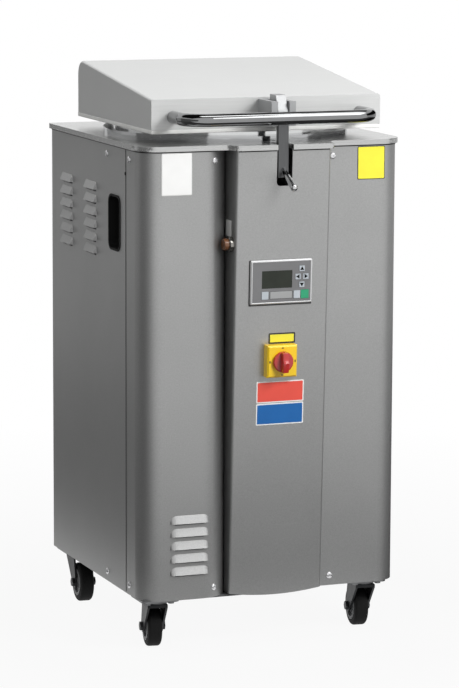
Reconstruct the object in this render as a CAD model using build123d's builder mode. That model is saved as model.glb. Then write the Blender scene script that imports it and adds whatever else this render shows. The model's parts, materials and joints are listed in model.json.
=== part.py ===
from build123d import *
import os
from math import asin, atan, cos, degrees, pi, radians, sin, tan

# Hydraulic dough divider: a sheet-metal cabinet on four swivel casters, a round dough bowl in
# its top deck, a press plate and knives raised by a two-stage ram, and a hinged latching lid.
# Millimetres. +Z is up, the console faces -Y, +X is to the right of someone facing the console.
# The origin is on the floor, under the middle of the whole machine.

# Cabinet
cabinet_width = 548.0
cabinet_depth = 543.0
panel_bottom = 105.0
panel_height = 875.0
sheet = 2.0
panel_gap = 1.5
corner_radius = 45.0
back_corner_radius = 10.0
seam_setback = 75.0
back_return = 25.0
base_thickness = 6.0
base_corner_radius = 46.0
groove_plate_width = 120.0
groove_plate_thickness = 4.0
groove_plate_inset = 17.0
groove_plate_lap = 20.0
post_size = 40.0
post_wall = 3.0
post_inset = 3.0

# Left front cover and the groove beside the console
cover_step = 21.5
bullnose_radius = 62.0
bullnose_angle = 62.0
bullnose_lip = 3.0
groove_gap = 2.0
groove_depth = 70.0

# Console
console_x = 5.0
console_width = 194.0
console_top_step = 49.5
console_bottom_step = 14.5
console_edge_radius = 5.0
console_belly = 5.5
console_foot_lift = 2.5

# Top deck
deck_thickness = 10.0
deck_overhang = 5.0
deck_back_radius = 12.0
tongue_left_neck = 15.0
tongue_left_corner = 12.0
tongue_right_corner = 4.0
tongue_right_neck = 20.0

# Louvres and recessed grips
louvre_width = 73.5
louvre_height = 15.0
louvre_depth = 7.0
louvre_end_slope = 6.2
louvre_crest = 0.4
louvre_wall = 1.5
louvre_root = 1.2
louvre_pitch = 25.4
louvre_slot = 3.6
side_louvre_top = 882.0
side_louvre_count = 6
side_louvre_columns = (284.0, 433.0)
front_louvre_top = 257.5
front_louvre_count = 5
front_louvre_setback = 97.0
grip_width = 66.0
grip_height = 106.0
grip_corner = 15.0
grip_depth = 32.0
grip_wall = 2.0
grip_rim = 2.0
grip_rim_height = 1.5
grip_setback = 141.5
grip_z = 829.0
grip_fit = 0.3

# Panel screws
screw_radius = 2.5
screw_clearance = 0.2
screw_head_radius = 5.5
screw_head_height = 2.6
screw_head_taper = 28.0
screw_edge = 20.0
side_screw_setback = 186.0
cover_screw_setback = 55.0
nose_screw_x = 25.0
front_screw_inset = 24.0
back_screw_inset = 24.0

# Bowl
bowl_setback = 256.5
bowl_radius = 200.0
bowl_wall = 6.0
bowl_bottom = 862.0
bowl_clearance = 0.5
ring_radius = 244.0
ring_height = 11.0
collar_radius = 228.0
collar_height = 7.7

# Press plate and knives
plate_top = 900.0
plate_thickness = 18.0
plate_clearance = 0.6
inner_cells = 5
outer_cells = 15
blade_thickness = 3.0
blade_clearance = 1.0
blade_circle = 100.0
blade_end_gap = 4.0
blade_sink = 1.0
blade_height = 87.0
hub_radius = 40.0
hub_thickness = 24.0
inner_post_circle = 62.0
outer_post_circle = 152.0
plate_post_radius = 7.0
carrier_radius = 190.0
carrier_thickness = 15.0
carrier_drop = 140.0
guide_circle = 176.0
guide_count = 3
guide_radius = 7.0
guide_length = 150.0
shaft_clearance = 0.05
knife_rod_radius = 30.0
knife_rod_length = 300.0
ram_radius = 50.0
ram_length = 275.0

# Cylinder and its frame
barrel_radius = 70.0
barrel_length = 295.0
barrel_foot = 20.0
barrel_gap = 10.0
flange_radius = 95.0
flange_thickness = 22.0
bridge_size = 400.0
bridge_thickness = 20.0
bridge_drop = 25.0
bridge_fit = 0.3
tie_radius = 14.0
tie_offset = 165.0

# Hydraulic power unit and control box
tank_width = 340.0
tank_depth = 290.0
tank_height = 150.0
tank_wall = 3.0
tank_lid = 8.0
tank_back_gap = 95.0
motor_x = 100.0
motor_radius = 62.0
motor_length = 225.0
motor_gap = 110.0
fan_cover_radius = 66.0
fan_cover_length = 50.0
pump_radius = 40.0
pump_length = 100.0
valve_x = -110.0
valve_gap = 115.0
valve_width = 90.0
valve_depth = 70.0
valve_height = 60.0
coil_radius = 18.0
coil_length = 55.0
pipe_radius = 8.0
pipe_bend = 28.0
pipe_port = 25.0
control_depth = 70.0
control_width = 180.0
control_height = 240.0
control_setback = 150.0
control_gap = 10.0
control_edge = 4.0

# Cable gland
gland_radius = 15.0
gland_bore = 6.5
gland_reach = 22.0
gland_inner = 14.0
gland_thread = 10.0
gland_fit = 0.1
gland_cap_inset = 2.0
gland_cap_taper = 12.0
gland_x = 150.0
gland_z = 180.0

# Lid
lid_width = 476.0
lid_depth = 445.0
lid_setback = 29.5
lid_front_height = 58.5
lid_back_height = 109.0
lid_back_radius = 28.0
lid_edge_radius = 4.0
lid_sheet = 3.0
lid_seat_gap = 0.3
lid_plate_edge = 1.0
lid_plate_thickness = 8.0
lid_core_thickness = 20.0

# Lid handle
handle_radius = 12.5
handle_span = 388.0
handle_standoff = 88.0
handle_bend = 45.0
handle_rise = 24.0

# Lid hinge
hinge_setback = 29.0
hinge_rise = 28.0
hinge_shaft_radius = 10.0
hinge_bracket_x = 140.0
hinge_bracket_width = 30.0
hinge_bracket_depth = 48.0
hinge_eye_radius = 20.0
hinge_arm_x = 105.0
hinge_arm_width = 24.0
hinge_arm_radius = 18.0
hinge_arm_foot = 44.0
hinge_shaft_overhang = 10.0

# Latch
latch_x = 6.0
cheek_thickness = 13.0
cheek_gap = 24.0
cheek_reach = 71.0
cheek_height = 47.0
cheek_rise = 8.0
cheek_foot = 6.0
pivot_reach = 43.0
pivot_rise = 41.0
pivot_radius = 5.0
arm_width = 21.0
arm_thickness = 12.0
arm_head_depth = 47.0
arm_head_drop = 26.0
arm_head_rise = 25.0
arm_slope_height = 36.0
arm_slope_depth = 18.0
arm_drop = 133.0
hook_reach = 29.0
hook_thickness = 10.0
hook_gap = 1.5
keeper_radius = 5.0
keeper_reach = 36.0
keeper_plate = 6.0
keeper_plate_depth = 26.0
keeper_plate_drop = 45.0
slot_width = 32.0
slot_depth = 70.0
slot_radius = 8.0
notch_length = 52.0
peg_length = 68.0
peg_radius = 7.3
peg_root_radius = 5.0
peg_angle = 27.0
peg_rise = 14.0

# Display panel and keys
display_dx = -2.5
display_z = 724.0
display_width = 128.0
display_height = 86.0
display_lip = 5.0
display_bevel = 2.5
display_body_inset = 5.0
display_body_depth = 35.0
display_fit = 0.3
screen_width = 63.0
screen_height = 34.5
screen_dx = -9.5
screen_dy = 5.0
screen_thickness = 1.5
screen_recess = 2.0
key_proud = 1.0
key_thickness = 2.5
key_travel = 1.0
key_fit = 0.3
arrow_key = 10.6
arrow_dx = 42.0
arrow_dy = 9.0
arrow_step_x = 8.2
arrow_step_y = 15.6
pad_key_width = 13.5
pad_key_height = 15.0
pad_key_dy = -25.6
escape_key_dx = 32.2
accept_key_dx = 48.4
accept_key_width = 16.0
accept_key_height = 16.6
function_key_dx = -34.0

# Mains switch
switch_dx = -3.0
switch_z = 570.0
switch_width = 62.0
switch_height = 63.0
switch_depth = 20.0
switch_bevel = 3.0
switch_neck_radius = 11.0
switch_block = 44.0
switch_block_depth = 45.0
knob_radius = 20.5
knob_base = 7.0
knob_gap = 0.4
knob_bar_width = 14.0
knob_bar_length = 40.0
knob_bar_height = 15.0
knob_bar_taper = 3.0
knob_bar_radius = 4.0
knob_shaft_radius = 6.0
knob_shaft_depth = 14.0

# Start button on the console's left wall
button_setback = 22.5
button_z = 798.0
bezel_radius = 15.0
bezel_length = 8.0
bezel_edge = 1.5
button_radius = 11.5
button_proud = 10.0
button_edge = 2.0
button_travel = 4.0
button_fit = 0.2
button_neck_radius = 13.5
button_block = 30.0
button_block_depth = 38.0

# Casters
caster_left_setback = 42.0
caster_right_setback = 58.0
caster_front_setback = 46.5
caster_back_setback = 50.0
caster_trail = 30.0
caster_turns = {"front_left": -9.0, "front_right": -7.0, "back_left": 177.0, "back_right": 168.0}
wheel_radius = 40.0
wheel_width = 28.0
tyre_edge = 6.0
rim_radius = 28.0
rim_width = 30.0
rim_dish = 6.0
rim_dish_depth = 5.0
boss_radius = 12.0
axle_radius = 5.0
axle_head_radius = 9.0
axle_head_length = 5.0
fork_half_gap = 16.0
fork_plate = 4.0
fork_crown = 6.0
fork_crown_length = 58.0
fork_end_radius = 12.0
caster_plate_length = 76.0
caster_plate_width = 80.0
caster_plate_thickness = 4.0
caster_plate_corner = 10.0
race_radius = 26.0
race_height = 6.0
race_gap = 0.4
kingpin_radius = 6.0
kingpin_head_radius = 9.5
kingpin_head = 4.0
caster_bolt_dx = 24.0
caster_bolt_dy = 26.0
caster_bolt_radius = 4.0
caster_bolt_clearance = 0.2
caster_bolt_hex = 6.5
caster_bolt_head = 5.0

# Derived places: heights
deck_bottom = panel_bottom + panel_height
deck_top = deck_bottom + deck_thickness
ring_top = deck_top + ring_height
collar_top = ring_top + collar_height
lid_plate_bottom = collar_top + lid_seat_gap
lid_bottom = lid_plate_bottom + lid_plate_thickness
base_top = panel_bottom + base_thickness
plate_bottom = plate_top - plate_thickness
blade_top = plate_top - blade_sink
blade_bottom = blade_top - blade_height
hub_bottom = blade_bottom - hub_thickness
carrier_top = plate_top - carrier_drop
carrier_bottom = carrier_top - carrier_thickness
barrel_top = carrier_bottom - barrel_gap
barrel_bottom = barrel_top - barrel_length
bridge_top = barrel_top - bridge_drop
bridge_bottom = bridge_top - bridge_thickness
control_z = bridge_bottom - control_gap - control_height
tank_top = base_top + tank_height
tank_lid_top = tank_top + tank_lid
handle_z = lid_bottom + handle_rise
hinge_z = deck_top + hinge_rise
pivot_z = lid_bottom + pivot_rise

# Derived places: depths. The cabinet stands so far back that the origin lies midway between
# the latch peg's tip and the cable gland's end.
peg_ball_reach = (peg_length - peg_radius) * cos(radians(peg_angle))
front_reach = cabinet_depth / 2 - lid_setback + cheek_reach + peg_ball_reach + peg_radius
back_reach = cabinet_depth / 2 + gland_reach
cabinet_y = (front_reach - back_reach) / 2
front_y = cabinet_y - cabinet_depth / 2
back_y = cabinet_y + cabinet_depth / 2
cover_y = front_y - cover_step
seam_y = front_y + seam_setback
groove_y = cover_y + groove_depth
bowl_y = front_y + bowl_setback
lid_front_y = front_y + lid_setback
lid_back_y = lid_front_y + lid_depth
handle_y = lid_front_y - handle_standoff
hinge_y = lid_back_y + hinge_setback
pivot_y = lid_front_y - pivot_reach
arm_front_y = lid_front_y - cheek_reach
arm_back_y = arm_front_y + arm_thickness
side_x = cabinet_width / 2
caster_left_x = -side_x + caster_left_setback
caster_right_x = side_x - caster_right_setback
inner_x = side_x - sheet
console_left = console_x - console_width / 2
console_right = console_x + console_width / 2
nose_x = console_left - groove_gap
nose_bend = radians(bullnose_angle)
nose_start_x = nose_x - bullnose_radius * sin(nose_bend) - bullnose_lip * cos(nose_bend)
nose_corner_x = nose_start_x + bullnose_radius * tan(nose_bend / 2)
nose_lip_y = cover_y + bullnose_radius * (1 - cos(nose_bend)) + bullnose_lip * sin(nose_bend)
face_slope = atan((console_top_step - console_bottom_step) / panel_height)

os.makedirs("parts", exist_ok=True)


def save(piece, name):
    """Label one finished piece and write it to its own file."""
    piece.part.label = name
    export_step(piece.part, f"parts/{name}.step")


def console_plane(x, z):
    """A plane on the console's tilted face, with its normal pointing out of the console."""
    face_y = front_y - console_bottom_step - (z - panel_bottom) * tan(face_slope)
    outward = (0, -cos(face_slope), -sin(face_slope))
    return Plane(origin=(x, face_y, z), x_dir=(1, 0, 0), z_dir=outward)


def front_plane(x, y, z):
    """A plane on a face that looks forward, to -Y."""
    return Plane(origin=(x, y, z), x_dir=(1, 0, 0), z_dir=(0, -1, 0))


def side_plane(x, y, z):
    """A plane on a cabinet side, with its normal pointing out of the cabinet."""
    turn = 1 if x > 0 else -1
    return Plane(origin=(x, y, z), x_dir=(0, turn, 0), z_dir=(turn, 0, 0))


def section_plane(x):
    """A plane across the machine at one X, with Y and Z as its own axes."""
    return Plane(origin=(x, 0, 0), x_dir=(0, 1, 0), z_dir=(1, 0, 0))


# Screw places, each a plane on the outside of the panel that the screw holds
screw_heights = (panel_bottom + screw_edge, deck_bottom - screw_edge)
left_side_screws = [side_plane(-side_x, front_y + side_screw_setback, z) for z in screw_heights]
right_side_screws = [side_plane(side_x, front_y + side_screw_setback, z) for z in screw_heights]
left_cover_screws = [side_plane(-side_x, front_y + cover_screw_setback, z) for z in screw_heights]
right_cover_screws = [side_plane(side_x, front_y + cover_screw_setback, z) for z in screw_heights]
front_screws = [front_plane(console_right + front_screw_inset, front_y, z) for z in screw_heights]
nose_turn = asin(nose_screw_x / bullnose_radius)
nose_screws = [
    Plane(
        origin=(
            nose_start_x + nose_screw_x,
            cover_y + bullnose_radius * (1 - cos(nose_turn)),
            z,
        ),
        x_dir=(cos(nose_turn), sin(nose_turn), 0),
        z_dir=(sin(nose_turn), -cos(nose_turn), 0),
    )
    for z in screw_heights
]
back_screw_x = side_x - back_return - back_screw_inset
back_screws = [
    Plane(origin=(x, back_y, z), x_dir=(-1, 0, 0), z_dir=(0, 1, 0))
    for x in (-back_screw_x, back_screw_x)
    for z in screw_heights
]


def cut_screw_holes(planes):
    """Cut the clearance holes for a panel's screws."""
    for plane in planes:
        with BuildSketch(plane) as hole:
            Circle(screw_radius + screw_clearance)
        extrude(hole.sketch, amount=2 * sheet, both=True, mode=Mode.SUBTRACT)


# Louvre tools: a pressed hood and the air space under it, drawn as if on the XY plane with its
# mouth towards -Y
def louvre_form(width, height, depth, mouth, root):
    """A hood that slopes out from its crest to its mouth, with slanted ends, sunk by its root."""
    front = width - 2 * louvre_end_slope
    back = width + 2 * louvre_end_slope * root / depth
    with BuildPart() as form:
        with BuildSketch(Plane(origin=(0, -mouth, 0), x_dir=(-1, 0, 0), z_dir=(0, 1, 0))):
            Polygon(
                (-back / 2, -root),
                (back / 2, -root),
                (front / 2, depth),
                (-front / 2, depth),
                align=None,
            )
        with BuildSketch(Plane(origin=(0, height, 0), x_dir=(-1, 0, 0), z_dir=(0, 1, 0))):
            with Locations((0, (louvre_crest - root) / 2)):
                Rectangle(front, louvre_crest + root)
        loft(ruled=True)
    return form.part


louvre_angle = atan(louvre_depth / louvre_height)
space_height = louvre_height - louvre_wall / sin(louvre_angle)
louvre_hood = louvre_form(louvre_width, louvre_height, louvre_depth, 0, louvre_root)
louvre_space = louvre_form(
    louvre_width - 2 * louvre_wall,
    space_height,
    louvre_depth - louvre_wall / cos(louvre_angle),
    louvre_wall / 2,
    0,
)


def press_louvres(planes):
    """Add hoods on these planes and open the sheet behind each one."""
    for plane in planes:
        with Locations(plane.location):
            add(louvre_hood)
            add(louvre_space, mode=Mode.SUBTRACT)
        with BuildSketch(plane) as opening:
            with Locations((0, (space_height - 2 * louvre_wall - louvre_slot) / 2)):
                Rectangle(
                    louvre_width - 2 * louvre_end_slope,
                    space_height - 2 * louvre_wall + louvre_slot,
                )
        extrude(opening.sketch, amount=-2 * sheet, mode=Mode.SUBTRACT)


# Base frame: the floor plate of the cabinet and its four corner posts
caster_spots = {
    "front_left": (caster_left_x, cover_y + caster_front_setback),
    "front_right": (caster_right_x, front_y + caster_front_setback),
    "back_left": (caster_left_x, back_y - caster_back_setback),
    "back_right": (caster_right_x, back_y - caster_back_setback),
}
caster_bolt_spots = [
    (x + dx, y + dy)
    for x, y in caster_spots.values()
    for dx in (-caster_bolt_dx, caster_bolt_dx)
    for dy in (-caster_bolt_dy, caster_bolt_dy)
]
with BuildPart() as base_frame:
    with BuildSketch(Plane.XY.offset(panel_bottom)):
        with BuildLine():
            FilletPolyline(
                (-inner_x, back_y - sheet),
                (-inner_x, cover_y + sheet),
                (nose_start_x, cover_y + sheet),
                (nose_start_x, groove_y),
                (console_right + panel_gap, groove_y),
                (console_right + panel_gap, front_y + sheet),
                (inner_x, front_y + sheet),
                (inner_x, back_y - sheet),
                radius=[
                    back_corner_radius,
                    base_corner_radius,
                    0,
                    0,
                    0,
                    0,
                    base_corner_radius,
                    back_corner_radius,
                ],
                close=True,
            )
        make_face()
        with Locations(*caster_bolt_spots):
            Circle(caster_bolt_radius + caster_bolt_clearance, mode=Mode.SUBTRACT)
    extrude(amount=base_thickness)
    with BuildSketch(Plane.XY.offset(base_top)) as post_sketch:
        post_x = inner_x - post_size / 2
        with Locations(
            (-post_x, seam_y),
            (post_x, seam_y),
            (-post_x + post_inset, back_y - sheet - post_size / 2 - post_inset),
            (post_x - post_inset, back_y - sheet - post_size / 2 - post_inset),
        ):
            Rectangle(post_size, post_size)
            Rectangle(post_size - 2 * post_wall, post_size - 2 * post_wall, mode=Mode.SUBTRACT)
posts = extrude(post_sketch.sketch, amount=panel_height - base_thickness)
with BuildPart() as groove_plate:
    plate_front = cover_y + groove_plate_inset
    plate_back = groove_y + groove_plate_lap
    with BuildSketch(Plane.XY.offset(panel_bottom)):
        with Locations((nose_x, (plate_front + plate_back) / 2)):
            Rectangle(groove_plate_width, plate_back - plate_front)
    extrude(amount=-groove_plate_thickness)
base_frame.part = Compound(
    children=[base_frame.part.solid(), *posts.solids(), groove_plate.part.solid()]
)
save(base_frame, "base_frame")

# Top deck: one plate with the bowl opening, a tongue over the console and the latch notch
deck_side = side_x + deck_overhang
deck_corner = corner_radius + deck_overhang
tongue_y = front_y - console_top_step - deck_overhang
with BuildPart() as top_deck:
    with BuildSketch(Plane.XY.offset(deck_bottom)):
        with BuildLine():
            FilletPolyline(
                (-deck_side, back_y + deck_overhang),
                (-deck_side, cover_y - deck_overhang),
                (console_left - deck_overhang, cover_y - deck_overhang),
                (console_left - deck_overhang, tongue_y),
                (console_right + deck_overhang, tongue_y),
                (console_right + deck_overhang, front_y - deck_overhang),
                (deck_side, front_y - deck_overhang),
                (deck_side, back_y + deck_overhang),
                radius=[
                    deck_back_radius,
                    deck_corner,
                    tongue_left_neck,
                    tongue_left_corner,
                    tongue_right_corner,
                    tongue_right_neck,
                    deck_corner,
                    deck_back_radius,
                ],
                close=True,
            )
        make_face()
        with Locations((0, bowl_y)):
            Circle(bowl_radius + bowl_wall + bowl_clearance, mode=Mode.SUBTRACT)
        with Locations((latch_x, tongue_y)):
            Rectangle(slot_width, 2 * notch_length, mode=Mode.SUBTRACT)
    extrude(amount=deck_thickness)
save(top_deck, "top_deck")


def side_louvre_planes(x):
    """Two columns of louvres on one cabinet side."""
    return [
        side_plane(x, front_y + column, side_louvre_top - row * louvre_pitch)
        for column in side_louvre_columns
        for row in range(side_louvre_count)
    ]


def side_panel(x, screws):
    """One cabinet side with its louvres, grip opening and rear return flange."""
    inward = -1 if x > 0 else 1
    with BuildPart() as panel:
        with BuildSketch(Plane.XY.offset(panel_bottom)):
            with BuildLine():
                FilletPolyline(
                    (x, seam_y + panel_gap / 2),
                    (x, back_y),
                    (x + inward * back_return, back_y),
                    (x + inward * back_return, back_y - sheet),
                    (x + inward * sheet, back_y - sheet),
                    (x + inward * sheet, seam_y + panel_gap / 2),
                    radius=[0, back_corner_radius, 0, 0, back_corner_radius - sheet, 0],
                    close=True,
                )
            make_face()
        extrude(amount=panel_height)
        with BuildSketch(side_plane(x, front_y + grip_setback, grip_z)):
            RectangleRounded(grip_width, grip_height, grip_corner)
        extrude(amount=2 * sheet, both=True, mode=Mode.SUBTRACT)
        press_louvres(side_louvre_planes(x))
        cut_screw_holes(screws)
    return panel


save(side_panel(-side_x, left_side_screws), "left_side_panel")
save(side_panel(side_x, right_side_screws), "right_side_panel")

# Recessed grips: a moulded cup behind each oval opening, with a rim on the outside
with BuildPart() as side_grips:
    for x in (-side_x, side_x):
        grip_plane = side_plane(x, front_y + grip_setback, grip_z)
        with BuildSketch(grip_plane):
            RectangleRounded(
                grip_width + 2 * grip_rim,
                grip_height + 2 * grip_rim,
                grip_corner + grip_rim,
            )
        extrude(amount=grip_rim_height)
        with BuildSketch(grip_plane):
            RectangleRounded(
                grip_width - 2 * grip_fit,
                grip_height - 2 * grip_fit,
                grip_corner - grip_fit,
            )
        extrude(amount=-grip_depth)
        with BuildSketch(grip_plane.offset(grip_rim_height)):
            RectangleRounded(
                grip_width - 2 * grip_wall,
                grip_height - 2 * grip_wall,
                grip_corner - grip_wall,
            )
        extrude(amount=-(grip_depth + grip_rim_height - grip_wall), mode=Mode.SUBTRACT)
save(side_grips, "side_grips")

# Left front cover: rounded corner, flat front with louvres, and a bullnose into the groove
inner_corner_x = nose_corner_x - sheet * tan(nose_bend / 2)
inner_lip_y = nose_lip_y + sheet * tan((pi / 2 - nose_bend) / 2)
with BuildPart() as left_front_cover:
    with BuildSketch(Plane.XY.offset(panel_bottom)):
        with BuildLine():
            FilletPolyline(
                (-side_x, seam_y - panel_gap / 2),
                (-side_x, cover_y),
                (nose_corner_x, cover_y),
                (nose_x, nose_lip_y),
                (nose_x, groove_y),
                (nose_x - sheet, groove_y),
                (nose_x - sheet, inner_lip_y),
                (inner_corner_x, cover_y + sheet),
                (-inner_x, cover_y + sheet),
                (-inner_x, seam_y - panel_gap / 2),
                radius=[
                    0,
                    corner_radius,
                    bullnose_radius,
                    0,
                    0,
                    0,
                    0,
                    bullnose_radius - sheet,
                    corner_radius - sheet,
                    0,
                ],
                close=True,
            )
        make_face()
    extrude(amount=panel_height)
    press_louvres(
        [
            front_plane(-side_x + front_louvre_setback, cover_y, front_louvre_top - row * louvre_pitch)
            for row in range(front_louvre_count)
        ]
    )
    cut_screw_holes(left_cover_screws + nose_screws)
save(left_front_cover, "left_front_cover")

# Right front panel: flat front, rounded corner and the first stretch of the right side
with BuildPart() as right_front_panel:
    with BuildSketch(Plane.XY.offset(panel_bottom)):
        with BuildLine():
            FilletPolyline(
                (console_right + panel_gap, front_y),
                (side_x, front_y),
                (side_x, seam_y - panel_gap / 2),
                (inner_x, seam_y - panel_gap / 2),
                (inner_x, front_y + sheet),
                (console_right + panel_gap, front_y + sheet),
                radius=[0, corner_radius, 0, 0, corner_radius - sheet, 0],
                close=True,
            )
        make_face()
    extrude(amount=panel_height)
    cut_screw_holes(right_cover_screws + front_screws)
save(right_front_panel, "right_front_panel")

# Console panel: a folded channel with a tilted face, open at the back, top and bottom
display_plane = console_plane(console_x + display_dx, display_z)
switch_plane = console_plane(console_x + switch_dx, switch_z)
button_face_y = front_y - console_bottom_step - (button_z - panel_bottom) * tan(face_slope)
button_plane = side_plane(console_left, button_face_y + button_setback, button_z)
with BuildPart() as console_panel:
    with BuildSketch(section_plane(console_left)):
        with BuildLine():
            Polyline(
                (groove_y, panel_bottom - console_belly),
                (front_y - console_bottom_step + console_belly * tan(face_slope), panel_bottom - console_belly),
                (front_y - console_top_step, deck_bottom),
                (groove_y, deck_bottom),
                close=True,
            )
        make_face()
    extrude(amount=console_width)
    face_edges = console_panel.edges().filter_by(Axis((0, 0, 0), console_plane(0, 0).y_dir))
    fillet(face_edges, console_edge_radius)
    open_faces = console_panel.faces().filter_by(Axis.Z)
    back_face = console_panel.faces().filter_by(Axis.Y).sort_by(Axis.Y)[-1:]
    offset(amount=-sheet, openings=[*open_faces, *back_face])
    with BuildSketch(front_plane(console_x, groove_y, panel_bottom)):
        with BuildLine():
            ThreePointArc(
                (-console_width / 2, console_foot_lift),
                (0, -console_belly),
                (console_width / 2, console_foot_lift),
            )
            Polyline(
                (console_width / 2, console_foot_lift),
                (console_width / 2, -console_width),
                (-console_width / 2, -console_width),
                (-console_width / 2, console_foot_lift),
            )
        make_face()
    extrude(amount=console_width, mode=Mode.SUBTRACT)
    with BuildSketch(console_plane(latch_x, deck_bottom)):
        RectangleRounded(slot_width, 2 * slot_depth, slot_radius)
    extrude(amount=2 * sheet, both=True, mode=Mode.SUBTRACT)
    with BuildSketch(display_plane):
        Rectangle(
            display_width - 2 * display_body_inset + 2 * display_fit,
            display_height - 2 * display_body_inset + 2 * display_fit,
        )
    extrude(amount=2 * sheet, both=True, mode=Mode.SUBTRACT)
    with BuildSketch(switch_plane):
        Circle(switch_neck_radius + display_fit)
    extrude(amount=2 * sheet, both=True, mode=Mode.SUBTRACT)
    with BuildSketch(button_plane):
        Circle(button_neck_radius + button_fit)
    extrude(amount=2 * sheet, both=True, mode=Mode.SUBTRACT)
save(console_panel, "console_panel")

# Rear panel, between the return flanges of the sides
with BuildPart() as rear_panel:
    with BuildSketch(Plane.XY.offset(panel_bottom)):
        with Locations((0, back_y - sheet / 2)):
            Rectangle(cabinet_width - 2 * (back_return + panel_gap), sheet)
    extrude(amount=panel_height)
    with BuildSketch(Plane(origin=(gland_x, back_y, gland_z), x_dir=(-1, 0, 0), z_dir=(0, 1, 0))):
        Circle(gland_thread + gland_fit)
    extrude(amount=2 * sheet, both=True, mode=Mode.SUBTRACT)
    cut_screw_holes(back_screws)
save(rear_panel, "rear_panel")

# Cable gland: flanged sleeve through the rear panel, held by its nut inside
with BuildPart() as cable_gland:
    gland_plane = Plane(origin=(gland_x, back_y, gland_z), x_dir=(-1, 0, 0), z_dir=(0, 1, 0))
    with BuildSketch(gland_plane):
        RegularPolygon(gland_radius, 6)
    extrude(amount=gland_reach / 2)
    with BuildSketch(gland_plane.offset(gland_reach / 2)):
        Circle(gland_radius - gland_cap_inset)
    extrude(amount=gland_reach / 2, taper=gland_cap_taper)
    with BuildSketch(gland_plane):
        Circle(gland_thread)
    extrude(amount=-sheet)
    with BuildSketch(gland_plane.offset(-sheet)):
        RegularPolygon(gland_radius, 6)
    extrude(amount=-gland_inner)
    with BuildSketch(gland_plane.offset(gland_reach)):
        Circle(gland_bore)
    extrude(amount=-(gland_reach + sheet + gland_inner), mode=Mode.SUBTRACT)
save(cable_gland, "cable_gland")

# Panel screws, all alike
with BuildPart() as panel_screws:
    for screw_plane in (
        left_side_screws
        + right_side_screws
        + left_cover_screws
        + right_cover_screws
        + nose_screws
        + front_screws
        + back_screws
    ):
        with BuildSketch(screw_plane):
            Circle(screw_head_radius)
        extrude(amount=screw_head_height, taper=screw_head_taper)
        with BuildSketch(screw_plane):
            Circle(screw_radius)
        extrude(amount=-sheet)
save(panel_screws, "panel_screws")

# Bowl seat ring on the deck
bowl_outer = bowl_radius + bowl_wall
with BuildPart() as bowl_ring:
    with BuildSketch(Plane.XY.offset(deck_top)):
        with Locations((0, bowl_y)):
            Circle(ring_radius)
            Circle(bowl_outer + bowl_clearance, mode=Mode.SUBTRACT)
    extrude(amount=ring_height)
save(bowl_ring, "bowl_ring")

# Dough bowl: an open cylinder whose collar hangs on the ring
with BuildPart() as dough_bowl:
    with BuildSketch(Plane.XY.offset(bowl_bottom)):
        with Locations((0, bowl_y)):
            Circle(bowl_outer)
    extrude(amount=collar_top - bowl_bottom)
    with BuildSketch(Plane.XY.offset(ring_top)):
        with Locations((0, bowl_y)):
            Circle(collar_radius)
    extrude(amount=collar_height)
    with BuildSketch(Plane.XY.offset(bowl_bottom)):
        with Locations((0, bowl_y)):
            Circle(bowl_radius)
    extrude(amount=collar_top - bowl_bottom, mode=Mode.SUBTRACT)
save(dough_bowl, "dough_bowl")

# Cell geometry shared by the press plate, its posts, the knives and the guide rods
inner_pitch = 360 / inner_cells
outer_pitch = 360 / outer_cells
plate_radius = bowl_radius - plate_clearance
blade_slot = blade_thickness + 2 * blade_clearance
blade_end = plate_radius - blade_end_gap
bowl_axis_plane = Plane(origin=(0, bowl_y, 0))

# Press plate: wedge-shaped segments with slots between them for the blades
with BuildPart() as press_plate:
    with BuildSketch(bowl_axis_plane.offset(plate_bottom)):
        Circle(plate_radius)
        Circle(blade_circle + blade_slot / 2, mode=Mode.SUBTRACT)
        with PolarLocations((blade_circle + plate_radius) / 2, outer_cells):
            Rectangle(plate_radius, blade_slot, mode=Mode.SUBTRACT)
    extrude(amount=plate_thickness)
    with BuildSketch(bowl_axis_plane.offset(plate_bottom)):
        Circle(blade_circle - blade_slot / 2)
        with PolarLocations(blade_circle / 2, inner_cells):
            Rectangle(blade_circle, blade_slot, mode=Mode.SUBTRACT)
    extrude(amount=plate_thickness)
save(press_plate, "press_plate")

# Press ram: hollow ram, carrier disc on its head, and a post up to each plate segment
with BuildPart() as ram_tube:
    with BuildSketch(bowl_axis_plane.offset(carrier_bottom)):
        Circle(ram_radius)
        Circle(knife_rod_radius + shaft_clearance, mode=Mode.SUBTRACT)
    extrude(amount=-ram_length)
with BuildPart() as carrier_disc:
    with BuildSketch(bowl_axis_plane.offset(carrier_bottom)):
        Circle(carrier_radius)
        Circle(knife_rod_radius + blade_clearance, mode=Mode.SUBTRACT)
        with PolarLocations(guide_circle, guide_count, start_angle=outer_pitch / 2):
            Circle(guide_radius + shaft_clearance, mode=Mode.SUBTRACT)
    extrude(amount=carrier_thickness)
with BuildPart() as plate_posts:
    with BuildSketch(bowl_axis_plane.offset(carrier_top)):
        with PolarLocations(inner_post_circle, inner_cells, start_angle=inner_pitch / 2):
            Circle(plate_post_radius)
        with PolarLocations(outer_post_circle, outer_cells, start_angle=outer_pitch / 2):
            Circle(plate_post_radius)
    extrude(amount=plate_bottom - carrier_top)
with BuildPart() as press_ram:
    add(ram_tube.part)
press_ram.part = Compound(
    children=[ram_tube.part.solid(), carrier_disc.part.solid(), *plate_posts.part.solids()]
)
save(press_ram, "press_ram")

# Knife ram: inner rod with the hub that carries the blades
with BuildPart() as knife_rod:
    with BuildSketch(bowl_axis_plane.offset(hub_bottom)):
        Circle(knife_rod_radius)
    extrude(amount=-knife_rod_length)
with BuildPart() as knife_hub:
    with BuildSketch(bowl_axis_plane.offset(hub_bottom)):
        Circle(hub_radius)
    extrude(amount=hub_thickness)
with BuildPart() as knife_ram:
    add(knife_rod.part)
knife_ram.part = Compound(children=[knife_rod.part.solid(), knife_hub.part.solid()])
save(knife_ram, "knife_ram")

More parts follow.
